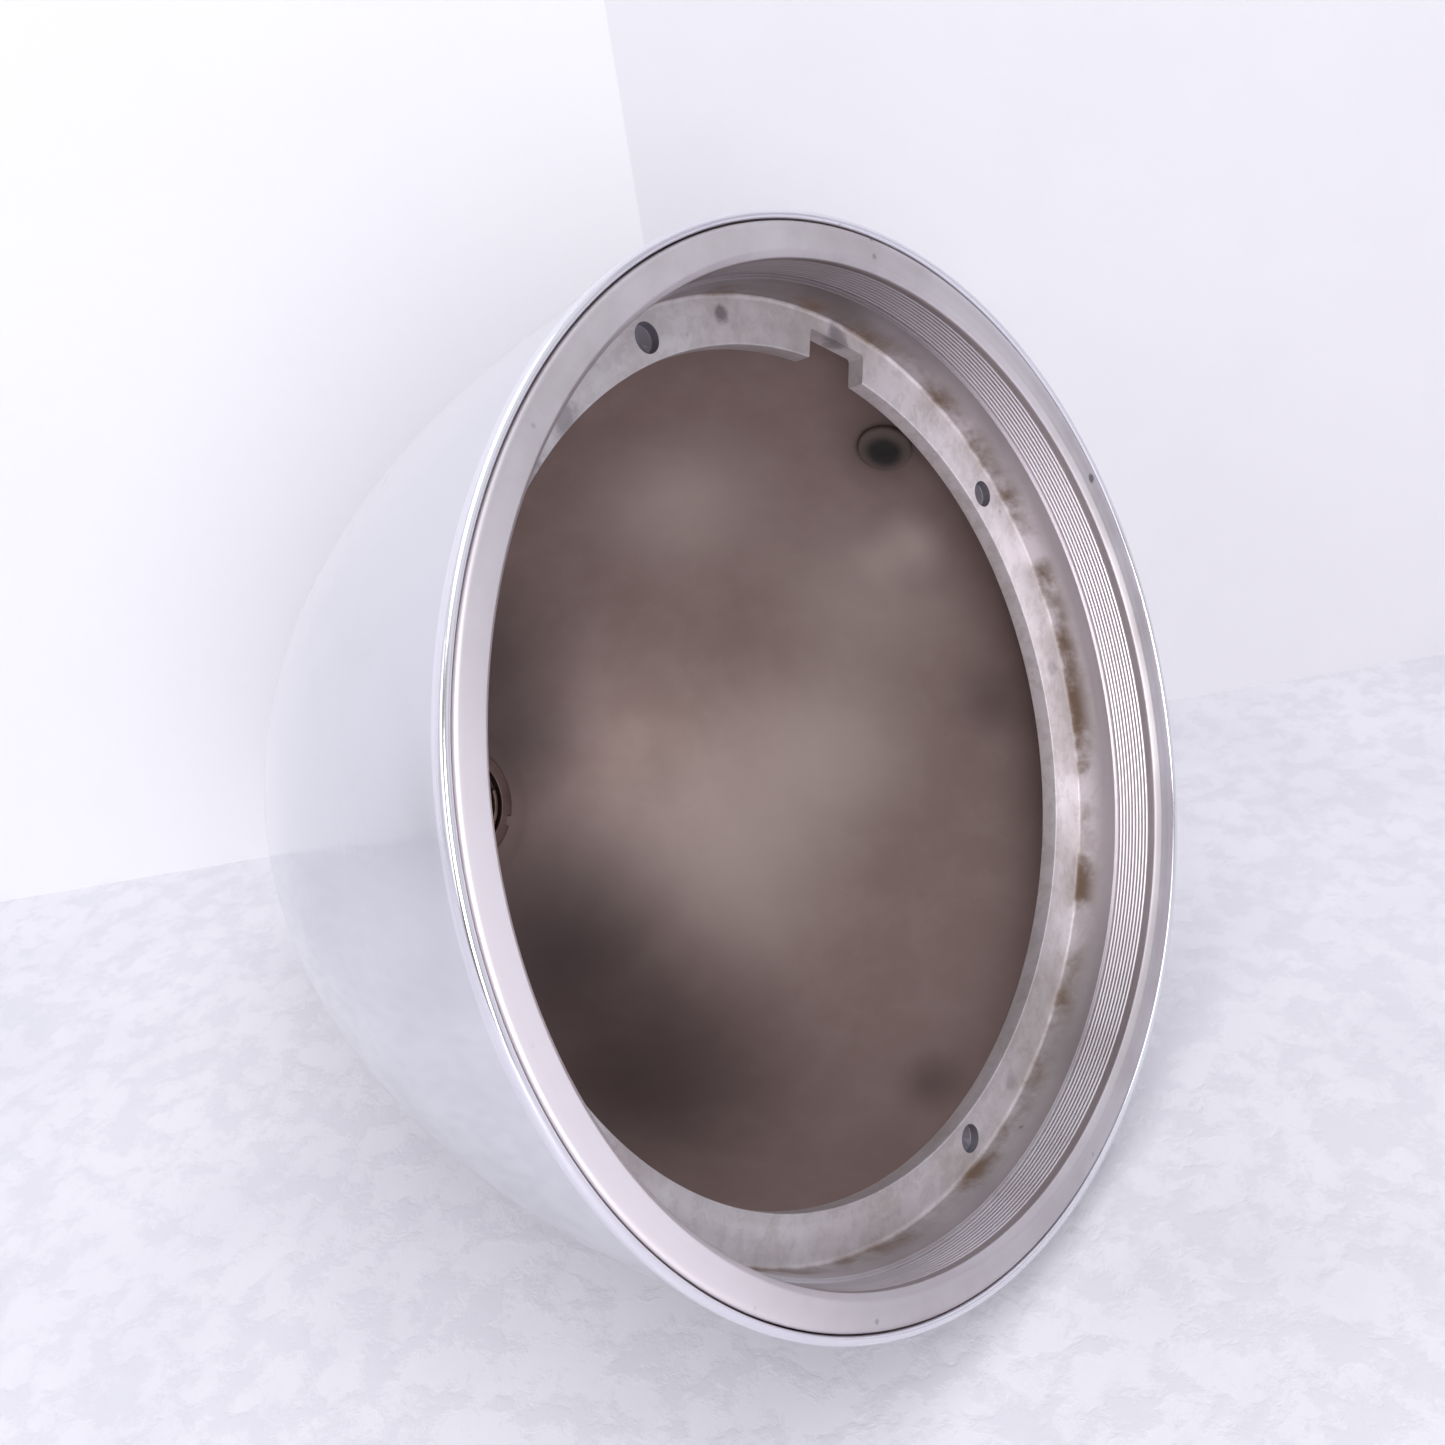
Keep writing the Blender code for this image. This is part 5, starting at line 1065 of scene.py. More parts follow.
class HeadFrame:
    """Where the head and its foot lie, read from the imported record."""

    mount_height = 72.2 * MM

    def __init__(self, record: dict, joints: Sequence[dict]) -> None:
        """Find the mouth's middle, the head's directions and the tilt bolt.

        Args:
            record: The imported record.
            joints: The frame's joints.
        """
        by_name = {joint["name"]: joint for joint in joints}
        self.out = Vector(by_name["ejector_slide"]["axis"]).normalized()
        across = Vector((1.0, 0.0, 0.0))
        self.up = self.out.cross(across).normalized()
        mouth = next(mount for mount in record["mounts"] if mount["name"] == "mouth_face")
        self.origin = Vector(mouth["pos_m"]) - self.up * self.mount_height
        turn = Matrix((across, self.up, self.out)).transposed().to_4x4()
        self.matrix = Matrix.Translation(self.origin) @ turn
        self.pivot = Vector(by_name["foot_tilt"]["pos_m"])


class Bench:
    """Sets finished pieces in the scene and reports each one."""

    def __init__(self) -> None:
        """Start with nothing set down."""
        self.count = 0

    def put(
        self,
        name: str,
        mesh: bpy.types.Mesh,
        matrix: Matrix,
        body: Body,
        stands_for: Sequence[str],
        edge: float = 0.0,
    ) -> bpy.types.Object:
        """Set one piece down, on its body, in place of its CAD nodes.

        Args:
            name: Name of the piece.
            mesh: Its mesh.
            matrix: Where it stands in the row frame.
            body: The body that it rides on.
            stands_for: The CAD nodes that it replaces.
            edge: Width of the rounding on its sharp edges.

        Returns:
            The piece.
        """
        made = bpy.data.objects.new(name, mesh)
        bpy.context.scene.collection.objects.link(made)
        made.matrix_world = matrix
        if edge > 0.0:
            bevel = made.modifiers.new("edges", "BEVEL")
            bevel.width = edge
            bevel.segments = 3
            bevel.limit_method = "ANGLE"
            bevel.angle_limit = math.radians(38.0)
            bevel.harden_normals = True
            bevel.use_clamp_overlap = True
        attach(made, body.value)
        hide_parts(*stands_for)
        self.count += 1
        log.info("%s rides on %s for %s", name, body.value, ", ".join(stands_for))
        return made


# ---------------------------------------------------------------- sub-assemblies


@dataclass
class Bell:
    """Spun bell with its lip, and the rubber plug in its side."""

    radius: float = 74.85 * MM
    full_depth: float = 108.4 * MM
    taper: float = 1.717
    fullness: float = 2.614
    wall: float = 1.2 * MM
    lip_radius: float = 76.3 * MM
    lip_wall: float = 1.3 * MM
    flare_start: float = 1.15 * MM
    flare_end: float = 4.4 * MM
    seat_radius: float = 17.0 * MM
    seat_round: float = 1.6 * MM
    neck_hole: float = 8.8 * MM
    stations: int = 72
    plug_depth: float = 31.0 * MM
    plug_angle: float = math.radians(27.7)
    plug_hole: float = 3.2 * MM
    plug_flange: float = 4.8 * MM
    plug_thickness: float = 1.4 * MM

    @property
    def seat_depth(self) -> float:
        """Depth of the flat seat at the back."""
        return self.full_depth * (1.0 - (self.seat_radius / self.radius) ** self.fullness) ** (1.0 / self.taper)

    def wall_point(self, turn: float) -> Point:
        """Point on the outer wall, from a turn of 0 at the mouth to a quarter turn."""
        radius = self.radius * math.cos(turn) ** (2.0 / self.fullness)
        return radius, self.full_depth * math.sin(turn) ** (2.0 / self.taper)

    def turn_at_depth(self, depth: float) -> float:
        """Turn at which the outer wall reaches a depth."""
        return math.asin((depth / self.full_depth) ** (self.taper / 2.0))

    def turn_at_radius(self, radius: float) -> float:
        """Turn at which the outer wall reaches a radius."""
        return math.acos((radius / self.radius) ** (self.fullness / 2.0))

    def inside_point(self, turn: float, offset: float) -> Point:
        """Point inside the outer wall by an offset square to it."""
        small = 0.0005
        radius, depth = self.wall_point(turn)
        before = self.wall_point(turn - small)
        after = self.wall_point(turn + small)
        run = Vector((after[0] - before[0], after[1] - before[1])).normalized()
        return radius - offset * run.y, depth + offset * run.x

    def inner_radius(self, depth: float, offset: float) -> float:
        """Radius inside the wall by an offset, at a depth."""
        low = self.turn_at_depth(self.flare_end / 4.0)
        high = self.turn_at_radius(self.seat_radius)
        for _ in range(40):
            middle = (low + high) / 2.0
            if self.inside_point(middle, offset)[1] < depth:
                low = middle
            else:
                high = middle
        return self.inside_point(low, offset)[0]

    def profile(self) -> tuple[list[Point], list[int]]:
        """Closed profile and the finish of each stretch: 0 outside, 1 lip, 2 inside."""
        bead = self.lip_wall / 2.0
        middle = self.lip_radius - bead
        lip = []
        for step in range(17):
            angle = math.pi * (1.0 - step / 16.0)
            lip.append((middle + bead * math.cos(angle), bead * (1.0 - math.sin(angle))))
        first = self.turn_at_depth(self.flare_end)
        last = self.turn_at_radius(self.seat_radius + self.seat_round)
        join = self.wall_point(first)
        pull = (self.lip_radius, self.flare_start + 0.7 * MM)
        cove = curve_points((self.lip_radius, self.flare_start), pull, (join[0] + 0.12 * MM, 2.5 * MM), join, 12)
        turns = [first + (last - first) * step / self.stations for step in range(self.stations + 1)]
        outer = [self.wall_point(turn) for turn in turns[1:]]
        flat = self.seat_depth
        outer_seat = curve_points(
            outer[-1], (self.seat_radius, flat), (self.seat_radius, flat), (self.seat_radius - self.seat_round, flat), 6
        )[1:]
        hole = fillet([(self.neck_hole + 1.0 * MM, flat, 0.0), (self.neck_hole, flat, 0.15 * MM)], closed=False)
        inner_flat = flat - self.wall
        inner_wall = [self.inside_point(turn, self.wall) for turn in reversed(turns)]
        inner_corner = (self.seat_radius - self.wall / 2.0, inner_flat)
        inner_seat = curve_points(
            (self.seat_radius - self.seat_round, inner_flat), inner_corner, inner_corner, inner_wall[0], 6
        )[:-1]
        hole_inner = [(self.neck_hole, inner_flat)]
        lip_inner = curve_points(
            inner_wall[-1], (inner_wall[-1][0] + 0.3 * MM, 2.8 * MM), (lip[0][0], 2.6 * MM), (lip[0][0], 1.7 * MM), 6
        )[1:]
        points = lip + cove + outer + outer_seat + hole + hole_inner + inner_seat + inner_wall + lip_inner
        lip_count = len(lip) + len(cove) - 1
        outside_count = len(outer) + len(outer_seat) + len(hole)
        inside_count = len(points) - lip_count - outside_count
        return points, [1] * lip_count + [0] * outside_count + [2] * inside_count

    def plug_place(self) -> Matrix:
        """Where the plug stands in the head's frame: +Z away from the axis."""
        turn = self.turn_at_depth(self.plug_depth)
        radius = self.wall_point(turn)[0]
        ahead = self.wall_point(turn + 0.01)
        slope = math.atan2(radius - ahead[0], ahead[1] - self.plug_depth)
        stand = turned_out(self.plug_angle)
        place = Matrix.Translation(stand @ Vector((0.0, 0.0, radius)) + Vector((0.0, 0.0, -self.plug_depth)))
        return place @ stand @ Matrix.Rotation(slope, 4, "Y")

    def build(self, head: HeadFrame, bench: Bench) -> None:
        """Spin the bell, drill its side and set the plug in it."""
        points, zones = self.profile()
        spun = lathe("bell_shell", points, Fineness.LARGE.value, [BELL_OUTSIDE, BELL_LIP, BELL_INSIDE], zones=zones)
        drill = rod("plug_drill", self.plug_hole, 12.0 * MM, Fineness.TINY.value, BELL_LIP)
        drilled = shaped("bell_shell", spun, [(drill, self.plug_place() @ Matrix.Translation((0.0, 0.0, -6.0 * MM)))])
        bench.put("bell_shell", drilled, head.matrix, Body.HEAD, ["bell"])
        self.build_plug(head, bench)

    def build_plug(self, head: HeadFrame, bench: Bench) -> None:
        """Rubber plug: a domed flange on each side of the wall and a stem between them."""
        sag = self.plug_flange**2 / (2.0 * self.wall_point(self.turn_at_depth(self.plug_depth))[0])
        top = GAP
        under = -(self.wall + GAP + sag)
        stem = self.plug_hole - GAP
        thick = self.plug_thickness
        wide = self.plug_flange
        profile = fillet(
            [
                (0.0, -(top + thick), 0.0),
                (wide * 0.35, -(top + thick), 0.3 * MM),
                (wide * 0.4, -(top + 0.8 * thick), 0.3 * MM),
                (wide * 0.75, -(top + 0.8 * thick), 0.8 * MM),
                (wide, -(top + 0.3 * thick), 0.4 * MM),
                (wide, -top, 0.15 * MM),
                (stem, -top, 0.1 * MM),
                (stem, -under, 0.1 * MM),
                (wide, -under, 0.15 * MM),
                (wide, -under + 0.6 * thick, 0.5 * MM),
                (wide * 0.7, -under + thick, 0.6 * MM),
                (0.0, -under + thick, 0.0),
            ],
            closed=False,
        )
        mesh = lathe("rubber_plug", profile, Fineness.SMALL.value, [BLACK_RUBBER], closed=False)
        bench.put("rubber_plug", mesh, head.matrix @ self.plug_place(), Body.HEAD, ["side_plug"])


@dataclass
class MouthRing:
    """Turned ring in the mouth: face, threaded wall, plain wall and ledge with keyway and pin holes."""

    bell: Bell
    corner: float = 1.2 * MM
    inner_radius: float = 69.9 * MM
    chamfer: float = 0.9 * MM
    step_depth: float = 8.1 * MM
    step_radius: float = 69.3 * MM
    ledge_depth: float = 15.4 * MM
    ledge_thickness: float = 2.9 * MM
    ledge_bore: float = 62.1 * MM
    ledge_fillet: float = 0.7 * MM
    thread_pitch: float = 0.62 * MM
    thread_deep: float = 0.16 * MM
    thread_count: int = 9
    keyway_angle: float = math.radians(53.9)
    keyway_width: float = 12.4 * MM
    keyway_height: float = 4.4 * MM
    pin_radius: float = 2.2 * MM
    pin_circle: float = 65.5 * MM
    pin_deep: float = 1.5 * MM
    pin_spread: tuple[float, ...] = (36.0, 144.0)

    def profile(self) -> list[Point]:
        """Closed profile; its outside follows the inside of the bell."""
        outer = self.bell.lip_radius - self.bell.lip_wall - GAP / 2.0
        back_face = self.ledge_depth + self.ledge_thickness
        fit = self.bell.wall + GAP
        corners = [(outer, 0.0, self.corner), (outer, 1.55 * MM, 0.15 * MM)]
        for step in range(9):
            depth = self.bell.flare_end + (back_face - self.bell.flare_end) * step / 8.0
            corners.append((self.bell.inner_radius(depth, fit) - 0.06 * MM, depth, 0.0))
        corners += [
            (self.ledge_bore, back_face, 0.25 * MM),
            (self.ledge_bore, self.ledge_depth, 0.22 * MM),
            (self.step_radius, self.ledge_depth, self.ledge_fillet),
            (self.step_radius, self.step_depth, 0.10 * MM),
            (self.inner_radius, self.step_depth, 0.10 * MM),
        ]
        for index in range(self.thread_count):
            depth = self.step_depth - 0.8 * MM - index * self.thread_pitch
            corners += [
                (self.inner_radius, depth + 0.2 * MM, 0.04 * MM),
                (self.inner_radius + self.thread_deep, depth, 0.04 * MM),
                (self.inner_radius, depth - 0.2 * MM, 0.04 * MM),
            ]
        corners += [
            (self.inner_radius, self.chamfer, 0.2 * MM),
            (self.inner_radius + self.chamfer, 0.0, 0.2 * MM),
        ]
        return fillet(corners, steps=4)

    def build(self, head: HeadFrame, bench: Bench) -> None:
        """Turn the ring, cut the keyway and drill the pin holes."""
        turned = lathe("mouth_ring_turned", self.profile(), Fineness.LARGE.value, [RING_METAL])
        outline = rounded_rectangle(2.0 * self.keyway_height, self.keyway_width, 0.6 * MM)
        cutter = slab("keyway_cutter", outline, 3.0 * self.ledge_thickness, RING_METAL)
        around = Matrix.Rotation(self.keyway_angle, 4, "Z")
        tools = [(cutter, around @ Matrix.Translation((self.ledge_bore, 0.0, -self.ledge_depth)))]
        for spread in self.pin_spread:
            for side in (-1.0, 1.0):
                angle = self.keyway_angle + side * math.radians(spread)
                place = (self.pin_circle * math.cos(angle), self.pin_circle * math.sin(angle), 0.0)
                profile = fillet(
                    [
                        (0.0, 0.35 * MM, 0.0),
                        (self.pin_radius, 0.0, 0.2 * MM),
                        (self.pin_radius, -self.pin_deep, 0.12 * MM),
                        (self.pin_radius + 0.15 * MM, -self.pin_deep - 0.2 * MM, 0.0),
                        (0.0, -self.pin_deep - 1.0 * MM, 0.0),
                    ],
                    closed=False,
                )
                drill = lathe("pin_drill", profile, Fineness.TINY.value, [PIN_HOLE], closed=False)
                tools.append((drill, Matrix.Translation(place) @ back(self.ledge_depth + self.pin_deep)))
        ring = shaped("mouth_ring_turned", turned, tools)
        bench.put("mouth_ring_turned", ring, head.matrix, Body.HEAD, ["mouth_ring"])


@dataclass
class LampSocket:
    """Neck nut, bayonet sleeve, fibre washer and block, and the sprung centre contact."""

    bell: Bell
    bore: float = 7.65 * MM
    sleeve_wall: float = 0.85 * MM
    sleeve_proud: float = 2.4 * MM
    sleeve_length: float = 22.3 * MM
    flange_radius: float = 13.4 * MM
    flange_start: float = 111.484 * MM
    flange_thickness: float = 1.5 * MM
    slot_width: float = 2.4 * MM
    slot_length: float = 5.2 * MM
    slot_turn: float = math.radians(28.0)
    arm_slot: float = 3.6 * MM
    arm_slot_start: float = 116.094 * MM
    nut_radius: float = 11.2 * MM
    nut_thickness: float = 1.6 * MM
    nut_notch: float = 2.0 * MM
    washer_radius: float = 15.5 * MM
    washer_thickness: float = 1.0 * MM
    block_start: float = 123.284 * MM
    block_flange: float = 127.284 * MM
    block_end: float = 130.784 * MM
    well_radius: float = 3.2 * MM
    well_deep: float = 4.4 * MM
    terminal_place: float = 6.3 * MM
    dome_start: float = 117.784 * MM
    plunger_flange: float = 120.384 * MM
    plunger_flange_end: float = 121.384 * MM
    collar_start: float = 131.984 * MM
    collar_end: float = 132.984 * MM
    travel: float = 2.4 * MM

    def build(self, head: HeadFrame, bench: Bench) -> None:
        """Build the socket from the front to the back."""
        self.build_nut(head, bench)
        self.build_sleeve(head, bench)
        self.build_washer(head, bench)
        self.build_block(head, bench)
        self.build_plunger(head, bench)

    def build_nut(self, head: HeadFrame, bench: Bench) -> None:
        """Thin ring nut with four spanner notches, oxidised like the bell's inside."""
        end = self.bell.seat_depth - self.bell.wall - GAP
        start = end - self.nut_thickness
        inner = self.bore + self.sleeve_wall + GAP
        profile = fillet(
            [
                (self.nut_radius, start, 0.35 * MM),
                (self.nut_radius, end, 0.1 * MM),
                (inner, end, 0.1 * MM),
                (inner, start, 0.25 * MM),
            ]
        )
        turned = lathe("ring_nut", profile, Fineness.MIDDLE.value, [NUT_METAL])
        tools = []
        for index in range(4):
            around = Matrix.Rotation((index + 0.5) * math.pi / 2.0, 4, "Z")
            notch = block("nut_notch", (self.nut_notch, self.nut_notch, 2.0 * self.nut_thickness), NUT_METAL, 0.2 * MM)
            tools.append((notch, around @ Matrix.Translation((self.nut_radius, 0.0, -(start + end) / 2.0))))
        mesh = shaped("ring_nut", turned, tools)
        bench.put("ring_nut", mesh, head.matrix, Body.HEAD, ["neck_nut"])

    def build_sleeve(self, head: HeadFrame, bench: Bench) -> None:
        """Brass sleeve with a flange, two J slots and the ejector's slot."""
        start = self.bell.seat_depth - self.sleeve_proud
        end = start + self.sleeve_length
        outer = self.bore + self.sleeve_wall
        flange_end = self.flange_start + self.flange_thickness
        profile = fillet(
            [
                (outer, start, 0.25 * MM),
                (outer, self.flange_start, 0.15 * MM),
                (self.flange_radius, self.flange_start, 0.15 * MM),
                (self.flange_radius, flange_end, 0.15 * MM),
                (outer, flange_end, 0.15 * MM),
                (outer, end, 0.12 * MM),
                (self.bore, end, 0.12 * MM),
                (self.bore, start, 0.3 * MM),
            ]
        )
        turned = lathe("socket_sleeve", profile, Fineness.MIDDLE.value, [OLD_BRASS])
        run = outer * self.slot_turn
        wall_middle = self.bore + self.sleeve_wall / 2.0
        tools = []
        for side in (0.0, math.pi):
            around = Matrix.Rotation(side, 4, "Z")
            entry = block("slot_entry", (4.0 * self.sleeve_wall, self.slot_width, 2.0 * self.slot_length), OLD_BRASS)
            tools.append((entry, around @ Matrix.Translation((wall_middle, 0.0, -start))))
            rest = block("slot_rest", (5.0 * self.sleeve_wall, run + self.slot_width, self.slot_width), OLD_BRASS)
            place = (wall_middle, run / 2.0, self.slot_width / 2.0 - start - self.slot_length)
            tools.append((rest, around @ Matrix.Translation(place)))
        length = end - self.arm_slot_start + 2.0 * GAP
        slot = block("arm_slot", (self.arm_slot, 6.0 * self.sleeve_wall, length), OLD_BRASS)
        tools.append((slot, Matrix.Translation((0.0, wall_middle, -(self.arm_slot_start + length / 2.0)))))
        mesh = shaped("socket_sleeve", turned, tools)
        bench.put("socket_sleeve", mesh, head.matrix, Body.HEAD, ["bayonet_sleeve"])

    def build_washer(self, head: HeadFrame, bench: Bench) -> None:
        """Fibre washer between the bell and the housing."""
        start = self.bell.seat_depth + GAP
        end = start + self.washer_thickness
        inner = self.bore + self.sleeve_wall + GAP
        outer = self.washer_radius
        profile = fillet([(outer, start, 0.2 * MM), (outer, end, 0.2 * MM), (inner, end, 0.1 * MM), (inner, start, 0.1 * MM)])
        mesh = lathe("neck_fibre", profile, Fineness.MIDDLE.value, [RED_FIBRE])
        bench.put("neck_fibre", mesh, head.matrix, Body.HEAD, ["neck_washer"])

    def build_block(self, head: HeadFrame, bench: Bench) -> None:
        """Fibre block that closes the sleeve and guides the plunger."""
        spigot = self.bore - GAP
        flange = self.bore + self.sleeve_wall - GAP / 2.0
        well_end = self.block_start + self.well_deep
        stem = 1.5 * MM
        profile = fillet(
            [
                (spigot, self.block_start, 0.3 * MM),
                (spigot, self.block_flange, 0.1 * MM),
                (flange, self.block_flange, 0.15 * MM),
                (flange, self.block_end, 0.3 * MM),
                (stem, self.block_end, 0.1 * MM),
                (stem, well_end, 0.1 * MM),
                (self.well_radius, well_end, 0.15 * MM),
                (self.well_radius, self.block_start, 0.2 * MM),
            ]
        )
        turned = lathe("socket_block", profile, Fineness.SMALL.value, [RED_FIBRE])
        drill = rod("terminal_drill", 1.2 * MM, 7.2 * MM, Fineness.TINY.value, RED_FIBRE)
        mesh = shaped(
            "socket_block", turned, [(drill, Matrix.Translation((0.0, -self.terminal_place, -(self.block_end + 3.6 * MM))))]
        )
        bench.put("socket_block", mesh, head.matrix, Body.HEAD, ["contact_block"])

    def build_plunger(self, head: HeadFrame, bench: Bench) -> None:
        """Domed brass contact and the spring behind its flange."""
        profile = fillet(
            [
                (0.0, self.dome_start, 0.0),
                (1.6 * MM, self.dome_start, 1.2 * MM),
                (2.2 * MM, self.dome_start + 2.0 * MM, 0.8 * MM),
                (2.2 * MM, self.plunger_flange, 0.1 * MM),
                (2.9 * MM, self.plunger_flange, 0.15 * MM),
                (2.9 * MM, self.plunger_flange_end, 0.15 * MM),
                (1.2 * MM, self.plunger_flange_end, 0.1 * MM),
                (1.2 * MM, self.collar_start, 0.1 * MM),
                (2.3 * MM, self.collar_start, 0.15 * MM),
                (2.3 * MM, self.collar_end, 0.25 * MM),
                (0.0, self.collar_end, 0.0),
            ],
            closed=False,
        )
        mesh = lathe("centre_contact", profile, Fineness.SMALL.value, [BRASS], closed=False)
        bench.put("centre_contact", mesh, head.matrix, Body.PLUNGER, ["contact_plunger"])
        start = self.plunger_flange_end + GAP
        end = self.block_start + self.well_deep - GAP
        coil = helix("contact_spring", 2.15 * MM, 0.25 * MM, start, end, 4.5, SPRING_STEEL)
        spring = bench.put("contact_spring", coil, head.matrix, Body.HEAD, ["plunger_spring"])
        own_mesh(spring)


@dataclass
class Ejector:
    """Ring in the sleeve on an arm, and the return spring."""

    start: float = 121.694 * MM
    end: float = 122.894 * MM
    travel: float = 5.0 * MM
    ring_bore: float = 4.0 * MM
    ring_radius: float = 7.2 * MM
    arm_width: float = 3.0 * MM
    arm_end: float = 18.3 * MM
    spring_place: float = 11.4 * MM
    spring_start: float = 113.284 * MM

    def build(self, head: HeadFrame, bench: Bench) -> None:
        """Build the ring with its arm, then the spring."""
        profile = fillet(
            [
                (self.ring_radius, self.start, 0.2 * MM),
                (self.ring_radius, self.end, 0.2 * MM),
                (self.ring_bore, self.end, 0.2 * MM),
                (self.ring_bore, self.start, 0.2 * MM),
            ]
        )
        ring = lathe("ejector_ring", profile, Fineness.SMALL.value, [PLATED_STEEL])
        arm_start = (self.ring_bore + self.ring_radius) / 2.0
        thick = self.end - self.start
        arm = block("ejector_arm", (self.arm_width, self.arm_end - arm_start, thick * 0.98), PLATED_STEEL, 0.15 * MM)
        place = Matrix.Translation((0.0, (arm_start + self.arm_end) / 2.0, -(self.start + self.end) / 2.0))
        mesh = shaped("ejector_ring", ring, [(arm, place)], "UNION")
        bench.put("ejector_ring", mesh, head.matrix, Body.EJECTOR, ["ejector_fork"])
        end = self.start - GAP
        coil = helix("return_spring", 1.45 * MM, 0.22 * MM, self.spring_start, end, 6.5, SPRING_STEEL)
        matrix = head.matrix @ Matrix.Translation((0.0, self.spring_place, 0.0))
        spring = bench.put("return_spring", coil, matrix, Body.HEAD, ["ejector_spring"])
        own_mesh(spring)


def slotted_screw(
    name: str, shaft: float, shaft_length: float, head_radius: float, head_height: float, finish: Finish
) -> bpy.types.Mesh:
    """A screw along +Z with its slotted head at the far end.

    Args:
        name: Name of the mesh.
        shaft: Radius of the shaft.
        shaft_length: Length of the shaft below the head.
        head_radius: Radius of the head.
        head_height: Height of the head.
        finish: Its finish.

    Returns:
        The screw's mesh, its shaft starting at the origin.
    """
    top = shaft_length + head_height
    profile = fillet(
        [
            (0.0, 0.0, 0.0),
            (shaft * 0.8, 0.0, 0.1 * MM),
            (shaft, -0.25 * MM, 0.1 * MM),
            (shaft, -shaft_length, 0.05 * MM),
            (head_radius, -shaft_length, 0.12 * MM),
            (head_radius, -top, 0.45 * head_height),
            (0.0, -top - 0.08 * MM, 0.0),
        ],
        closed=False,
    )
    turned = lathe(name, profile, Fineness.TINY.value * 2, [finish], closed=False)
    slot = block("driver_slot", (4.0 * head_radius, 0.28 * head_radius, head_height), finish)
    return shaped(name, turned, [(slot, Matrix.Translation((0.0, 0.0, top + 0.02 * MM)))])


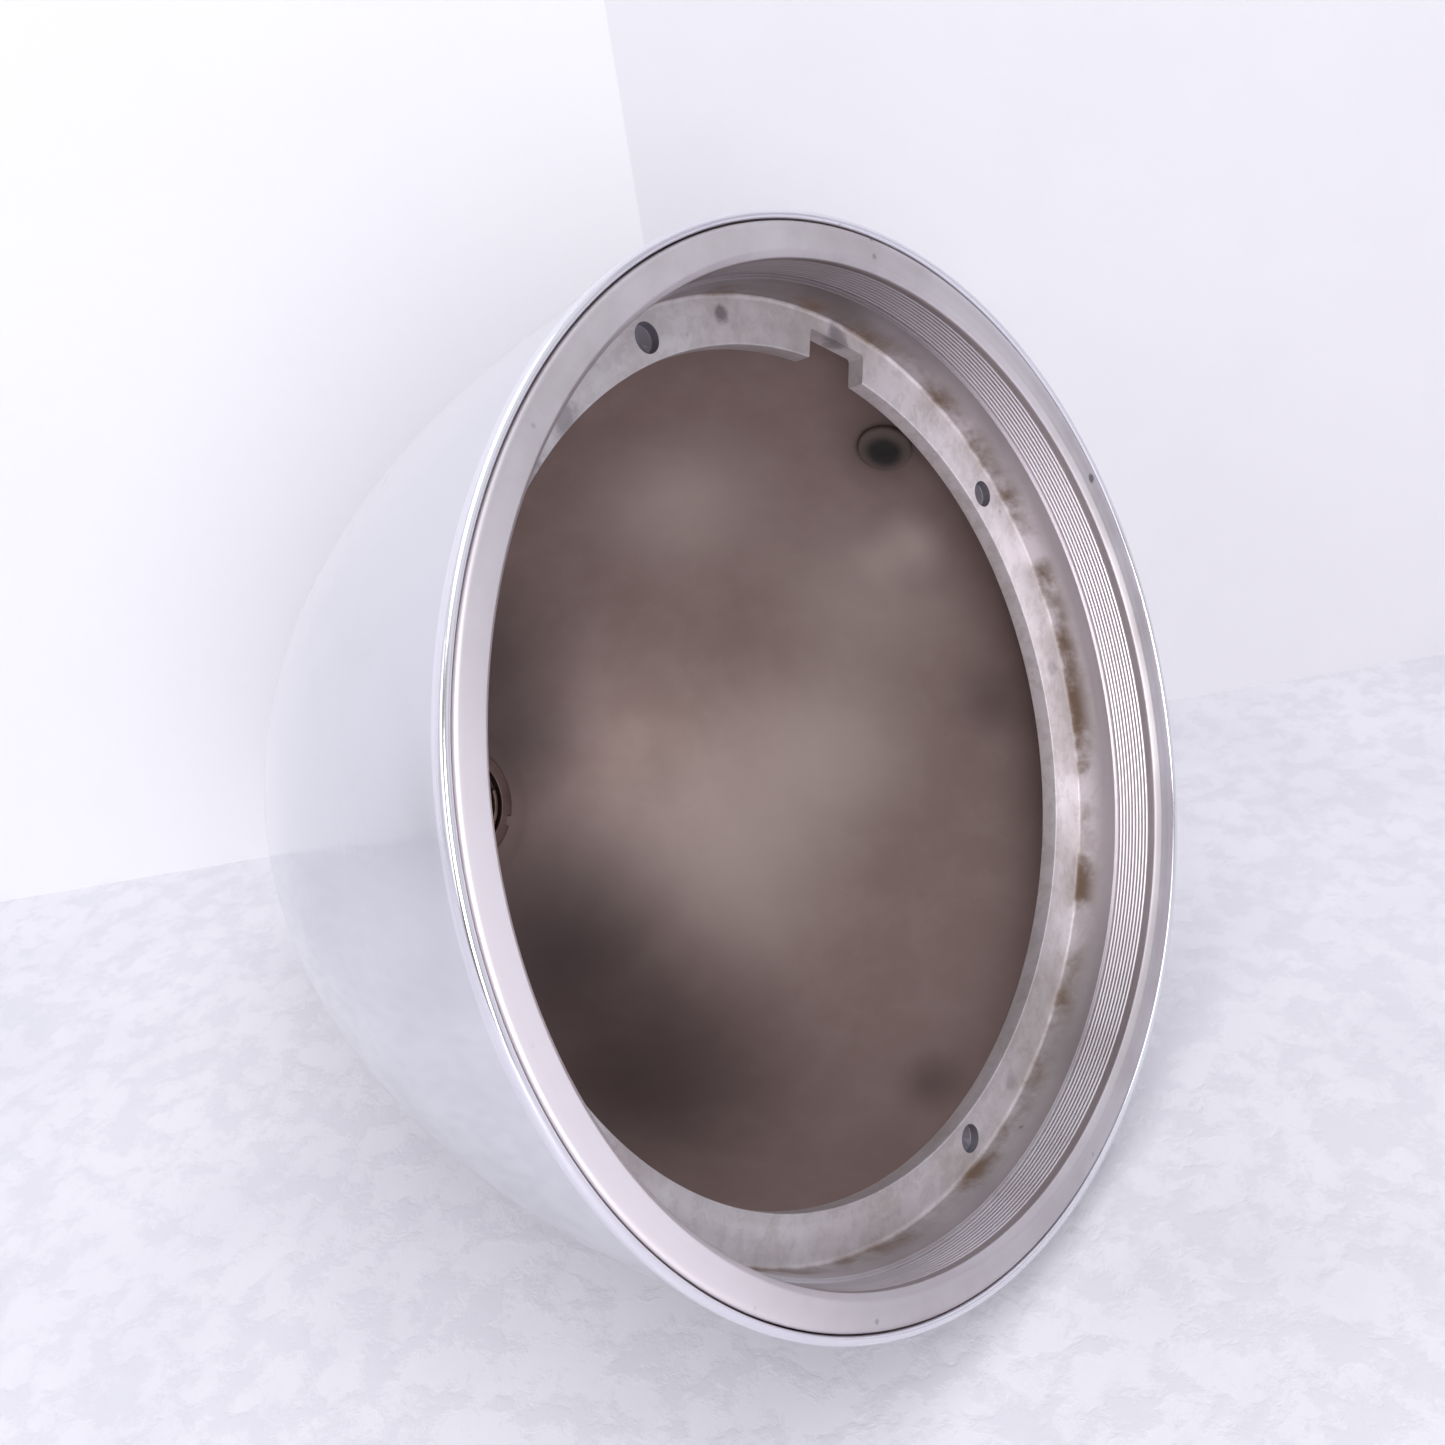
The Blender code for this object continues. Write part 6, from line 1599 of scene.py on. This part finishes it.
@dataclass
class RearHousing:
    """Moulded cup, its cap with three slotted screws, and the two-pin inlet."""

    radius: float = 16.5 * MM
    wall: float = 2.2 * MM
    floor: float = 2.5 * MM
    start: float = 108.684 * MM
    end: float = 142.394 * MM
    hole_radius: float = 8.8 * MM
    arm_slot: float = 3.6 * MM
    arm_slot_start: float = 116.094 * MM
    arm_slot_end: float = 123.494 * MM
    cap_thickness: float = 2.7 * MM
    spigot_length: float = 4.1 * MM
    spigot_wall: float = 2.5 * MM
    screw_angles: tuple[float, ...] = (30.0, 150.0, 270.0)
    screw_shaft: float = 0.9 * MM
    screw_head: float = 1.7 * MM
    screw_height: float = 0.9 * MM
    screw_hole_deep: float = 1.75 * MM
    band_screw_depth: float = 131.994 * MM
    band_screw_shaft: float = 1.2 * MM
    inlet_radius: float = 7.5 * MM
    well_radius: float = 6.2 * MM
    well_deep: float = 6.0 * MM
    inlet_floor: float = 1.8 * MM
    inlet_flange: float = 9.4 * MM
    inlet_flange_thickness: float = 1.2 * MM
    pin_radius: float = 0.9 * MM
    pin_spacing: float = 6.6 * MM
    pin_tail: float = 0.9 * MM
    pin_recess: float = 0.8 * MM

    @property
    def cap_start(self) -> float:
        """Depth of the cap's front face."""
        return self.end + GAP

    @property
    def cap_end(self) -> float:
        """Depth of the cap's back face."""
        return self.cap_start + self.cap_thickness

    def screw_stand(self, degrees: float, radius: float) -> Matrix:
        """A place on a cap screw's line, at a radius from the axis."""
        depth = self.end - self.spigot_length / 2.0
        return back(depth) @ turned_out(math.radians(degrees)) @ Matrix.Translation((0.0, 0.0, radius))

    def build(self, head: HeadFrame, bench: Bench) -> None:
        """Build the cup, the cap with its screws, and the inlet with its pins."""
        self.build_cup(head, bench)
        self.build_cap(head, bench)
        self.build_inlet(head, bench)

    def build_cup(self, head: HeadFrame, bench: Bench) -> None:
        """Moulded cup with a slot for the ejector's arm and drilled for the screws."""
        bore = self.radius - self.wall
        profile = fillet(
            [
                (self.radius, self.start, 1.4 * MM),
                (self.radius, self.end, 0.3 * MM),
                (bore, self.end, 0.25 * MM),
                (bore, self.start + self.floor, 0.6 * MM),
                (self.hole_radius, self.start + self.floor, 0.2 * MM),
                (self.hole_radius, self.start, 0.2 * MM),
            ]
        )
        turned = lathe("housing_cup", profile, Fineness.MIDDLE.value, [RESIN])
        length = self.arm_slot_end - self.arm_slot_start
        outline = rounded_rectangle(self.arm_slot, length, 0.5 * MM)
        slot = slab("housing_slot", outline, 3.0 * self.wall, RESIN)
        lay = Matrix.Rotation(math.pi / 2.0, 4, "X")
        middle = -(self.arm_slot_start + self.arm_slot_end) / 2.0
        tools = [(slot, Matrix.Translation((0.0, self.radius - self.wall / 2.0, middle)) @ lay)]
        for degrees in self.screw_angles:
            drill = rod("cup_drill", self.screw_shaft + GAP, 8.0 * MM, Fineness.TINY.value, RESIN)
            tools.append((drill, self.screw_stand(degrees, bore - self.wall)))
        drill = rod("grip_drill", self.band_screw_shaft + GAP, 8.0 * MM, Fineness.TINY.value, RESIN)
        tools.append((drill, back(self.band_screw_depth) @ turned_out(0.0) @ Matrix.Translation((0.0, 0.0, bore - self.wall))))
        mesh = shaped("housing_cup", turned, tools)
        bench.put("housing_cup", mesh, head.matrix, Body.HEAD, ["rear_housing"])

    def build_cap(self, head: HeadFrame, bench: Bench) -> None:
        """Cap with a spigot inside the cup, and the three screws through the cup's wall."""
        spigot = self.radius - self.wall - GAP
        bore = self.inlet_radius + GAP
        front = self.cap_start - self.spigot_length
        profile = fillet(
            [
                (spigot, front, 0.3 * MM),
                (spigot, self.cap_start, 0.1 * MM),
                (self.radius, self.cap_start, 0.25 * MM),
                (self.radius, self.cap_end, 1.3 * MM),
                (bore, self.cap_end, 0.3 * MM),
                (bore, self.cap_start, 0.15 * MM),
                (spigot - self.spigot_wall, self.cap_start, 0.3 * MM),
                (spigot - self.spigot_wall, front, 0.3 * MM),
            ]
        )
        turned = lathe("housing_cap", profile, Fineness.MIDDLE.value, [RESIN])
        hole = spigot - self.screw_hole_deep
        tools = []
        for number, degrees in enumerate(self.screw_angles, 1):
            drill = rod("cap_drill", self.screw_shaft + GAP, 8.0 * MM, Fineness.TINY.value, RESIN)
            tools.append((drill, self.screw_stand(degrees, hole)))
            shaft = hole + GAP
            mesh = slotted_screw(
                f"cheese_screw_{number}",
                self.screw_shaft,
                self.radius + GAP - shaft,
                self.screw_head,
                self.screw_height,
                PLATED_STEEL,
            )
            matrix = head.matrix @ self.screw_stand(degrees, shaft) @ Matrix.Rotation(number * 0.9, 4, "Z")
            bench.put(f"cheese_screw_{number}", mesh, matrix, Body.HEAD, [f"cap_screw_{number}"])
        mesh = shaped("housing_cap", turned, tools)
        bench.put("housing_cap", mesh, head.matrix, Body.HEAD, ["rear_cap"])

    def build_inlet(self, head: HeadFrame, bench: Bench) -> None:
        """Brown insert with a round well and two brass pins."""
        well = self.cap_end - self.well_deep
        start = well - self.inlet_floor
        flange_end = self.cap_start - GAP
        flange_start = flange_end - self.inlet_flange_thickness
        rim = self.cap_end + GAP
        profile = fillet(
            [
                (0.0, start, 0.0),
                (self.inlet_radius, start, 0.3 * MM),
                (self.inlet_radius, flange_start, 0.1 * MM),
                (self.inlet_flange, flange_start, 0.2 * MM),
                (self.inlet_flange, flange_end, 0.2 * MM),
                (self.inlet_radius, flange_end, 0.1 * MM),
                (self.inlet_radius, rim, 0.25 * MM),
                (self.well_radius, rim, 0.3 * MM),
                (self.well_radius, well, 0.4 * MM),
                (0.0, well, 0.0),
            ],
            closed=False,
        )
        turned = lathe("inlet_insert", profile, Fineness.MIDDLE.value, [INLET_RESIN], closed=False)
        pin_start = start - self.pin_tail
        pin_end = self.cap_end - self.pin_recess
        tools = []
        for side, label in ((-1.0, "left"), (1.0, "right")):
            x = side * self.pin_spacing / 2.0
            drill = rod("pin_bore", self.pin_radius + GAP, 3.0 * self.inlet_floor, Fineness.TINY.value, INLET_RESIN)
            tools.append((drill, Matrix.Translation((x, 0.0, -(well + self.inlet_floor)))))
            shape = fillet(
                [
                    (0.0, pin_start, 0.0),
                    (self.pin_radius, pin_start, 0.2 * MM),
                    (self.pin_radius, pin_end, 0.75 * MM),
                    (0.0, pin_end, 0.0),
                ],
                closed=False,
            )
            pin = lathe(f"contact_pin_{label}", shape, Fineness.TINY.value, [BRASS], closed=False)
            matrix = head.matrix @ Matrix.Translation((x, 0.0, 0.0))
            bench.put(f"contact_pin_{label}", pin, matrix, Body.HEAD, [f"inlet_pin_{label}"])
        mesh = shaped("inlet_insert", turned, tools)
        bench.put("inlet_insert", mesh, head.matrix, Body.HEAD, ["inlet_block"])


@dataclass
class TiltMount:
    """Band with its lug, the foot, the bolt through both, friction washers and the clamp knob."""

    housing: RearHousing
    band_wall: float = 2.0 * MM
    band_width: float = 10.0 * MM
    band_front: float = 126.994 * MM
    lug_width: float = 10.0 * MM
    pivot_drop: float = 28.0 * MM
    pivot_height: float = 11.82 * MM
    screw_head: float = 2.4 * MM
    screw_height: float = 1.4 * MM
    washer_radius: float = 5.4 * MM
    washer_thickness: float = 1.0 * MM
    ear_thickness: float = 2.5 * MM
    ear_radius: float = 6.0 * MM
    foot_width: float = 30.0 * MM
    foot_length: float = 34.0 * MM
    foot_thickness: float = 3.0 * MM
    foot_corner: float = 4.0 * MM
    hole_radius: float = 3.3 * MM
    hole_place: float = 11.0 * MM
    bolt_radius: float = 2.4 * MM
    bolt_head: float = 4.2 * MM
    bolt_head_height: float = 2.6 * MM
    bolt_end: float = 5.5 * MM
    knob_radius: float = 7.5 * MM
    knob_thickness: float = 7.0 * MM
    flutes: int = 12
    flute_deep: float = 0.75 * MM

    @property
    def ear_inner(self) -> float:
        """Distance from the middle to an ear's inner face."""
        return self.lug_width / 2.0 + self.washer_thickness + 2.0 * GAP

    @property
    def ear_outer(self) -> float:
        """Distance from the middle to an ear's outer face."""
        return self.ear_inner + self.ear_thickness

    def build(self, head: HeadFrame, bench: Bench) -> None:
        """Build the band on the head, then everything on the tilt bolt."""
        self.build_band(head, bench)
        pivot = Matrix.Translation(head.pivot)
        self.build_foot(pivot, bench)
        self.build_washers(pivot, bench)
        self.build_bolt(pivot, bench)
        self.build_knob(pivot, bench)

    def build_band(self, head: HeadFrame, bench: Bench) -> None:
        """Band round the cup with its lug, and the slotted grip screw."""
        bore = self.housing.radius + GAP
        outer = bore + self.band_wall
        end = self.band_front + self.band_width
        middle = (self.band_front + end) / 2.0
        profile = [(outer, self.band_front), (outer, end), (bore, end), (bore, self.band_front)]
        turned = lathe("mount_band", profile, Fineness.MIDDLE.value, [DULL_ALUMINIUM])
        lug_top = self.pivot_drop - self.housing.radius - self.band_wall / 2.0
        lug = slab("mount_lug", tongue(self.band_width / 2.0, lug_top), self.lug_width, DULL_ALUMINIUM)
        stand = Matrix(((0.0, 0.0, 1.0, 0.0), (0.0, 1.0, 0.0, 0.0), (-1.0, 0.0, 0.0, 0.0), (0.0, 0.0, 0.0, 1.0)))
        joined = shaped(
            "mount_band", turned, [(lug, Matrix.Translation((0.0, -self.pivot_drop, -middle)) @ stand)], "UNION"
        )
        bolt_hole = rod("bolt_hole", self.bolt_radius + GAP, 2.0 * self.lug_width, Fineness.SMALL.value, DULL_ALUMINIUM)
        grip_hole = rod(
            "grip_hole", self.housing.band_screw_shaft + GAP, 8.0 * MM, Fineness.TINY.value, DULL_ALUMINIUM
        )
        grip_stand = back(middle) @ turned_out(0.0)
        mesh = shaped(
            "mount_band",
            joined,
            [
                (bolt_hole, Matrix.Translation((-self.lug_width, -self.pivot_drop, -middle)) @ ACROSS),
                (grip_hole, grip_stand @ Matrix.Translation((0.0, 0.0, self.housing.radius - self.housing.wall))),
            ],
        )
        bench.put("mount_band", mesh, head.matrix, Body.HEAD, ["housing_band"], edge=0.25 * MM)
        shaft = self.housing.radius - self.housing.wall + GAP
        screw = slotted_screw(
            "grip_screw",
            self.housing.band_screw_shaft,
            outer + GAP - shaft,
            self.screw_head,
            self.screw_height,
            PLATED_STEEL,
        )
        matrix = head.matrix @ grip_stand @ Matrix.Translation((0.0, 0.0, shaft)) @ Matrix.Rotation(0.6, 4, "Z")
        bench.put("grip_screw", screw, matrix, Body.HEAD, ["band_screw"])

    def build_foot(self, pivot: Matrix, bench: Bench) -> None:
        """Plate with rounded corners, two ears and two screw holes."""
        outline = rounded_rectangle(self.foot_width, self.foot_length, self.foot_corner)
        plate = slab("mount_foot", outline, self.foot_thickness, DULL_ALUMINIUM)
        plate.transform(Matrix.Translation((0.0, 0.0, self.foot_thickness / 2.0 - self.pivot_height)))
        stand = Matrix(((0.0, 0.0, 1.0, 0.0), (1.0, 0.0, 0.0, 0.0), (0.0, 1.0, 0.0, 0.0), (0.0, 0.0, 0.0, 1.0)))
        flip = Matrix.Rotation(math.pi, 4, "X")
        reach = self.pivot_height - self.foot_thickness / 2.0
        ears = []
        for side in (-1.0, 1.0):
            ear = slab("foot_ear", tongue(self.ear_radius, reach), self.ear_thickness, DULL_ALUMINIUM)
            middle = side * (self.ear_inner + self.ear_thickness / 2.0)
            ears.append((ear, Matrix.Translation((middle, 0.0, 0.0)) @ flip @ stand))
        joined = shaped("mount_foot", plate, ears, "UNION")
        bore = rod("ear_bore", self.bolt_radius + GAP, 2.0 * self.foot_width, Fineness.SMALL.value, DULL_ALUMINIUM)
        tools = [(bore, Matrix.Translation((-self.foot_width, 0.0, 0.0)) @ ACROSS)]
        for side in (-1.0, 1.0):
            hole = rod("foot_hole", self.hole_radius, 3.0 * self.foot_thickness, Fineness.SMALL.value, DULL_ALUMINIUM)
            tools.append((hole, Matrix.Translation((0.0, side * self.hole_place, -self.pivot_height - self.foot_thickness))))
        mesh = shaped("mount_foot", joined, tools)
        bench.put("mount_foot", mesh, pivot, Body.FOOT, ["tilt_foot"], edge=0.3 * MM)

    def build_washers(self, pivot: Matrix, bench: Bench) -> None:
        """Fibre washer on each side of the lug."""
        bore = self.bolt_radius + GAP
        thick = self.washer_thickness
        profile = fillet(
            [
                (self.washer_radius, 0.0, 0.2 * MM),
                (self.washer_radius, thick, 0.2 * MM),
                (bore, thick, 0.1 * MM),
                (bore, 0.0, 0.1 * MM),
            ]
        )
        start = self.lug_width / 2.0 + GAP
        for label, low in (("left", -start - thick), ("right", start)):
            mesh = lathe(f"fibre_disc_{label}", profile, Fineness.SMALL.value, [RED_FIBRE])
            matrix = pivot @ Matrix.Translation((low + thick, 0.0, 0.0)) @ ACROSS
            bench.put(f"fibre_disc_{label}", mesh, matrix, Body.FOOT, [f"friction_washer_{label}"])

    def build_bolt(self, pivot: Matrix, bench: Bench) -> None:
        """Bolt across the ears, with a slotted cheese head on the left."""
        low = self.ear_outer + GAP
        length = low + self.ear_outer + self.bolt_end
        mesh = slotted_screw("pivot_bolt", self.bolt_radius, length, self.bolt_head, self.bolt_head_height, PLATED_STEEL)
        turn = Matrix.Rotation(-math.pi / 2.0, 4, "Y")
        matrix = pivot @ Matrix.Translation((self.ear_outer + self.bolt_end, 0.0, 0.0)) @ turn
        bench.put("pivot_bolt", mesh, matrix, Body.FOOT, ["tilt_bolt"])

    def build_knob(self, pivot: Matrix, bench: Bench) -> None:
        """Fluted knob with a dished face, threaded on the bolt's end."""
        bore = self.bolt_radius + GAP
        bore_length = self.bolt_end + 2.0 * GAP
        thick = self.knob_thickness
        rim = self.knob_radius
        profile = fillet(
            [
                (0.0, -(thick - 0.5 * MM), 0.0),
                (rim - 2.6 * MM, -(thick - 0.5 * MM), 0.5 * MM),
                (rim - 2.1 * MM, -thick, 0.3 * MM),
                (rim - 0.9 * MM, -thick, 0.4 * MM),
                (rim, -(thick - 0.9 * MM), 0.4 * MM),
                (rim, -0.9 * MM, 0.4 * MM),
                (rim - 0.9 * MM, 0.0, 0.3 * MM),
                (bore, 0.0, 0.2 * MM),
                (bore, -bore_length, 0.2 * MM),
                (0.0, -bore_length, 0.0),
            ],
            closed=False,
        )

        def fluted(radius: float, angle: float) -> float:
            """Pull the rim in at each flute."""
            near_rim = min(max((radius - (rim - 2.0 * MM)) / (1.6 * MM), 0.0), 1.0)
            wave = max(math.cos(self.flutes * angle), 0.0) ** 1.5
            return radius - self.flute_deep * near_rim * wave

        steps = self.flutes * 16
        mesh = lathe("fluted_knob", profile, steps, [RESIN], closed=False, reach_at=fluted)
        matrix = pivot @ Matrix.Translation((self.ear_outer + GAP, 0.0, 0.0)) @ ACROSS
        bench.put("fluted_knob", mesh, matrix, Body.KNOB, ["clamp_knob"])


@dataclass
class InnerPieces:
    """Carried-over pieces that stay as they are and only take a finish and soft edges."""

    finishes: dict[str, Finish] = field(
        default_factory=lambda: {
            "ejector_thumb": RESIN,
            "centre_terminal": BRASS,
            "terminal_screw": PLATED_STEEL,
            "sleeve_terminal": BRASS,
            "centre_lead": COTTON_WIRE,
            "sleeve_lead": COTTON_WIRE,
        }
    )
    edges: dict[str, float] = field(
        default_factory=lambda: {
            "ejector_thumb": 0.18 * MM,
            "centre_terminal": 0.12 * MM,
            "terminal_screw": 0.12 * MM,
            "sleeve_terminal": 0.12 * MM,
        }
    )

    def dress(self) -> None:
        """Give each piece its finish, and round the sharp edges of the stiff ones."""
        for name, finish in self.finishes.items():
            node = frame["nodes"][name]
            for slot in node.material_slots:
                slot.link = "OBJECT"
                slot.material = finish.material()
            if name in self.edges:
                weld = node.modifiers.new("weld", "WELD")
                weld.merge_threshold = 0.000001
                bevel = node.modifiers.new("edges", "BEVEL")
                bevel.width = self.edges[name]
                bevel.segments = 3
                bevel.limit_method = "ANGLE"
                bevel.angle_limit = math.radians(40.0)
            log.info("%s keeps its shape and takes %s", name, finish.name)


# ---------------------------------------------------------------- stage


@dataclass
class Studio:
    """Pale table, two white boards behind, soft lights and the camera."""

    table_reach: float = 1.6
    board_distance: float = 0.1035
    board_turn: float = math.radians(42.15)
    board_height: float = 0.75
    board_overlap: float = 1.2 * MM
    crease: tuple[float, float] = (0.0912, 0.0526)
    eye: tuple[float, float, float] = (-0.1512, -0.10198, 0.10230)
    azimuth: float = math.radians(48.43)
    pitch: float = math.radians(-26.96)
    roll: float = math.radians(-9.35)
    lens: float = 37.37
    room: tuple[float, float, float] = (-0.80, -0.60, 0.05)

    def build(self, head: HeadFrame) -> None:
        """Set up the stage, the light and the camera."""
        self.build_table()
        self.build_boards()
        self.build_world()
        self.build_lights()
        self.build_camera(head)

    def plain(self, name: str, corners: Sequence[Sequence[float]], finish: Finish) -> bpy.types.Object:
        """One flat four-cornered sheet that belongs to the stage."""
        mesh = bpy.data.meshes.new(name)
        mesh.from_pydata([tuple(corner) for corner in corners], [], [(0, 1, 2, 3)])
        mesh.materials.append(finish.material())
        made = bpy.data.objects.new(name, mesh)
        bpy.context.scene.collection.objects.link(made)
        return made

    def build_table(self) -> None:
        """The table under the lowest point of the object."""
        low = CAD_BOX[0].z - 0.1 * MM
        reach = self.table_reach
        self.plain("table", [(-reach, -reach, low), (reach, -reach, low), (reach, reach, low), (-reach, reach, low)], TABLE_TOP)

    def build_boards(self) -> None:
        """Two boards that stand side by side behind the object, one just in front of the other; the right one is
        painted darker as shade.
        """
        low = CAD_BOX[0].z - 0.1 * MM
        outward = Vector((math.cos(self.board_turn), math.sin(self.board_turn), 0.0))
        along = Vector((outward.y, -outward.x, 0.0))
        middle = outward * self.board_distance
        seam = along * (Vector((*self.crease, 0.0)) - middle).dot(along)
        # The right board takes the darker finish: painted shade.
        for name, start, end, lift, finish in (
            ("left_board", -1.5, 0.0, 0.0, LEFT_BOARD),
            ("right_board_painted_shade", 0.0, 1.5, self.board_overlap, RIGHT_BOARD_PAINTED_SHADE),
        ):
            shift = middle + seam + outward * lift
            bottom = Vector((0.0, 0.0, low))
            top = Vector((0.0, 0.0, self.board_height))
            self.plain(
                name,
                [shift + along * start + bottom, shift + along * end + bottom, shift + along * end + top, shift + along * start + top],
                finish,
            )

    def build_world(self) -> None:
        """Pale surroundings, with the dim side of the room in front of the mouth."""
        world = bpy.data.worlds.new("studio_world")
        world.use_nodes = True
        bpy.context.scene.world = world
        sheet = Sheet(world.node_tree)
        background = world.node_tree.nodes["Background"]
        place = sheet.node("ShaderNodeTexCoord").outputs["Generated"]
        toward = sheet.vector("DOT_PRODUCT", place, tuple(Vector(self.room).normalized())).outputs["Value"]
        dim = sheet.span(toward, 0.30, 0.97, 0.0, 1.0)
        around = sheet.mix(dim, tone(231, 233, 240), tone(112, 100, 98))
        seen = sheet.node("ShaderNodeLightPath").outputs["Is Camera Ray"]
        sheet.feed(background.inputs["Color"], sheet.mix(seen, around, tone(243, 242, 250)))
        sheet.feed(background.inputs["Strength"], 1.05)

    def build_lights(self) -> None:
        """Wide soft lamps: one overhead, one from the left, one low fill from the right."""
        for name, place, aim, size, power, colour in (
            ("overhead", (-0.15, -0.25, 0.95), (0.0, 0.0, 0.04), 0.9, 2.7, (1.0, 1.0, 1.0)),
            ("left_window", (-0.95, 0.15, 0.55), (0.0, 0.0, 0.05), 0.8, 2.1, (0.97, 0.99, 1.0)),
            ("front_fill", (-0.62, -0.78, 0.38), (0.0, 0.0, 0.08), 0.7, 5.6, (1.0, 0.99, 0.98)),
        ):
            lamp = bpy.data.lights.new(name, "AREA")
            lamp.shape = "DISK"
            lamp.size = size
            lamp.energy = power
            lamp.color = colour
            made = bpy.data.objects.new(name, lamp)
            made.location = place
            made.rotation_mode = "QUATERNION"
            made.rotation_quaternion = (Vector(aim) - Vector(place)).to_track_quat("-Z", "Y")
            bpy.context.scene.collection.objects.link(made)

    def build_camera(self, head: HeadFrame) -> None:
        """A hand-held view down into the mouth from its left."""
        data = bpy.data.cameras.new("camera")
        data.lens = self.lens
        data.sensor_width = 36.0
        data.clip_start = 0.01
        data.clip_end = 20.0
        camera = bpy.data.objects.new("camera", data)
        level = math.cos(self.pitch)
        ahead = Vector((math.sin(self.azimuth) * level, math.cos(self.azimuth) * level, math.sin(self.pitch)))
        look = (-ahead).to_track_quat("Z", "Y").to_matrix()
        camera.rotation_mode = "QUATERNION"
        turn = look @ Matrix.Rotation(self.roll, 3, "Z")
        camera.rotation_quaternion = turn.to_quaternion()
        camera.location = head.origin + Vector(self.eye)
        bpy.context.scene.collection.objects.link(camera)
        bpy.context.scene.camera = camera
        bpy.context.scene.view_settings.view_transform = "Standard"


def main() -> None:
    """Build the head from the mouth back, then the stage."""
    logging.basicConfig(level=logging.INFO, format="%(name)s: %(message)s")
    head = HeadFrame(frame["record"], frame["joints"])
    bench = Bench()
    bell = Bell()
    bell.build(head, bench)
    MouthRing(bell).build(head, bench)
    LampSocket(bell).build(head, bench)
    Ejector().build(head, bench)
    housing = RearHousing()
    housing.build(head, bench)
    TiltMount(housing).build(head, bench)
    InnerPieces().dress()
    Studio().build(head)
    log.info("%d pieces set down", bench.count)


if __name__ == "__main__":
    main()
